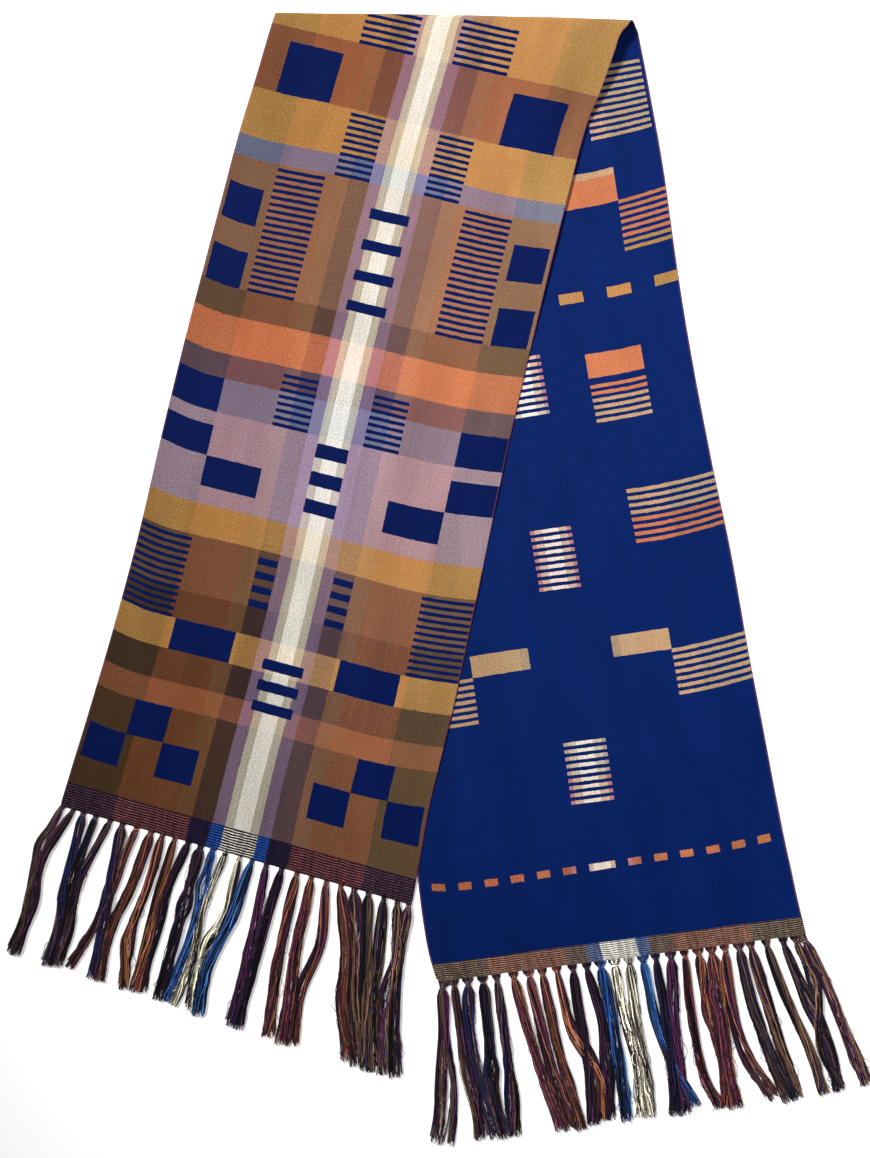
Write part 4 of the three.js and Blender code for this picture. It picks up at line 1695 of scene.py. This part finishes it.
def fringe_silk():
    material, tree, shader = new_material("fringe_silk")
    finish = FRINGE_FINISH
    names = ("zone", "strand_pick", "shade", "strand_shade", "depth", "in_core", "gleam")
    carried = {name: attribute(tree, name)["Fac"] for name in names}
    colour = varied(tree, strand_colour(tree, carried), carried["shade"], finish["thread_tones"])
    colour = varied(tree, colour, carried["strand_shade"], finish["strand_tones"])
    # Painted shade: darker for threads low in the bundle and for those of its heart.
    painted_depth_shade = remap(tree, carried["depth"], *finish["depth"], interpolation_type="SMOOTHSTEP")
    gleam = remap(tree, carried["gleam"], *finish["gleam"])
    core = blend(tree, carried["in_core"], 1.0, finish["core"])
    colour = tone(tree, colour, product(tree, painted_depth_shade, core, gleam))
    tree.links.new(colour, shader.inputs["Base Color"])
    set_shader(shader, Roughness=finish["roughness"], Specular_IOR_Level=finish["specular"])
    set_shader(shader, Sheen_Weight=finish["sheen"])
    return material


fringe_finish = fringe_silk()
print(len(FRINGE_ZONES), "zones of colour from the middle of the hem out")


# %% Lay the threads
def guide_mesh(name, guides):
    """Edge chains, a chain for each guide, with what the tree has to know on their points."""
    mesh = bpy.data.meshes.new(name)
    points, edges = [], []
    for guide in guides:
        first = len(points)
        points.extend(guide["points"] * MM)
        edges.extend((first + step, first + step + 1) for step in range(len(guide["points"]) - 1))
    mesh.from_pydata(points, edges, [])
    facts = [fact for fact in guides[0] if fact != "points"]
    for fact in facts:
        is_way = fact.endswith("_way")
        values = []
        for guide in guides:
            count = len(guide["points"])
            shape = (count, 3) if is_way else (count,)
            values.append(np.broadcast_to(np.asarray(guide[fact], float), shape).ravel())
        layer = mesh.attributes.new(fact, "FLOAT_VECTOR" if is_way else "FLOAT", "POINT")
        flat_values = np.concatenate(values).astype(np.float32)
        layer.data.foreach_set("vector" if is_way else "value", flat_values)
    return mesh


def lay_threads(name, guides):
    """A plain mesh of threads, made by the tree from these guides."""
    guide = guide_mesh(name, guides)
    piece = add_to_scene(name, guide)
    modifier = piece.modifiers.new("threads", "NODES")
    modifier.node_group = threads_tree
    items = threads_tree.interface.items_tree
    identifiers = {item.name: item.identifier for item in items if item.in_out == "INPUT"}
    for socket, (_, value) in TREE_INPUTS.items():
        modifier[identifiers[socket]] = value
    modifier[identifiers["Silk"]] = fringe_finish
    evaluated = piece.evaluated_get(bpy.context.evaluated_depsgraph_get())
    mesh = bpy.data.meshes.new_from_object(evaluated)
    piece.modifiers.clear()
    piece.data = mesh
    bpy.data.meshes.remove(guide)
    mesh.name = name
    mesh.polygons.foreach_set("use_smooth", np.ones(len(mesh.polygons), bool))
    print(name, sum(len(face.vertices) - 2 for face in mesh.polygons), "triangles")
    return piece


LEFT_GUIDES = 28  # in the left half of an end, two for each tassel
fringes_upper = [
    lay_threads("fringe_upper_left", upper_guides[:LEFT_GUIDES]),
    lay_threads("fringe_upper_right", upper_guides[LEFT_GUIDES:]),
]
fringes_lower = [
    lay_threads("fringe_lower_left", lower_guides[:LEFT_GUIDES]),
    lay_threads("fringe_lower_right", lower_guides[LEFT_GUIDES:]),
]

# %% [markdown]
# ## What each piece stands for
#
# Every piece rides on the one body and stands for the solids that it covers.

# %% Ride and replace
bands = (end_band_upper, end_band_lower)
fringes = (*fringes_upper, *fringes_lower)
for piece in (cloth, *bands, *fringes):
    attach(piece, "root")
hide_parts("cloth_front", "cloth_fold", "cloth_back")
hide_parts("band_front")
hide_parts("band_back")
for piece in fringes_upper:
    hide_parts("fringe_front")
for piece in fringes_lower:
    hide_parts("fringe_back")
print(1 + len(bands) + len(fringes), "pieces stand for", len(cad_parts), "nodes")

# %% [markdown]
# ## Floor, light and camera
#
# A plain pale floor, a soft key light from the upper left and a weaker fill from the upper
# right, as for a catalogue. A light from all round would be simpler, but would flatten the
# cloth. The camera looks almost straight down, with the small tilt and the distance that give
# the leaves their slight taper.

# %% The stage
FLOOR_SIZE = 8.0
FLOOR_COLOUR = (0.9, 0.9, 0.9, 1)
FLOOR_GLOW = 0.37  # lifts the pale floor to white

half_floor = FLOOR_SIZE / 2
corners = [(-1, -1, 0), (1, -1, 0), (1, 1, 0), (-1, 1, 0)]
floor_mesh = bpy.data.meshes.new("floor")
floor_mesh.from_pydata(np.array(corners) * half_floor, [], [(0, 1, 2, 3)])
floor = add_to_scene("floor", floor_mesh)
floor_paint, _, floor_shader = new_material("floor_paint")
set_shader(floor_shader, Base_Color=FLOOR_COLOUR, Roughness=0.9, Specular_IOR_Level=0.1)
set_shader(floor_shader, Emission_Color=(1, 1, 1, 1), Emission_Strength=FLOOR_GLOW)
floor.data.materials.append(floor_paint)
print("floor", FLOOR_SIZE, "m wide")

# %% The light
WORLD_LIGHT = 0.15

world = bpy.data.worlds.new("studio")
world.use_nodes = True
background = world.node_tree.nodes["Background"]
background.inputs["Color"].default_value = (1.0, 1.0, 1.0, 1)
background.inputs["Strength"].default_value = WORLD_LIGHT
bpy.context.scene.world = world


def soft_light(name, place, aim, size, power, spread):
    """A square soft box at place, aimed at a point, its beam spread over some degrees."""
    data = bpy.data.lights.new(name, "AREA")
    data.shape = "SQUARE"
    data.size = size
    data.energy = power
    data.spread = math.radians(spread)
    lamp = add_to_scene(name, data)
    lamp.location = place
    toward = Vector(aim) - Vector(place)
    lamp.rotation_euler = toward.to_track_quat("-Z", "Y").to_euler()
    print(name, "light,", power, "W")


soft_light(
    "key", place=(-1.33, 1.17, 1.95), aim=(1.05, -0.22, 0), size=0.6, power=23.4, spread=66
)
soft_light(
    "fill", place=(0.76, 0.86, 0.86), aim=(-0.1, -0.1, 0), size=0.8, power=7, spread=180
)

# %% The camera
TILT = math.radians(3.5)
DISTANCE = 1.47645
LENS = 45

target = np.array([-2.6, -13.9, 0]) * MM
camera_data = bpy.data.cameras.new("camera")
camera_data.lens = LENS
camera = add_to_scene("camera", camera_data)
camera.location = target + DISTANCE * np.array([0, -math.sin(TILT), math.cos(TILT)])
camera.rotation_euler = (TILT, 0, 0)
bpy.context.scene.camera = camera
bpy.context.scene.view_settings.view_transform = "Standard"
print(f"the camera is {DISTANCE:.2f} m away")
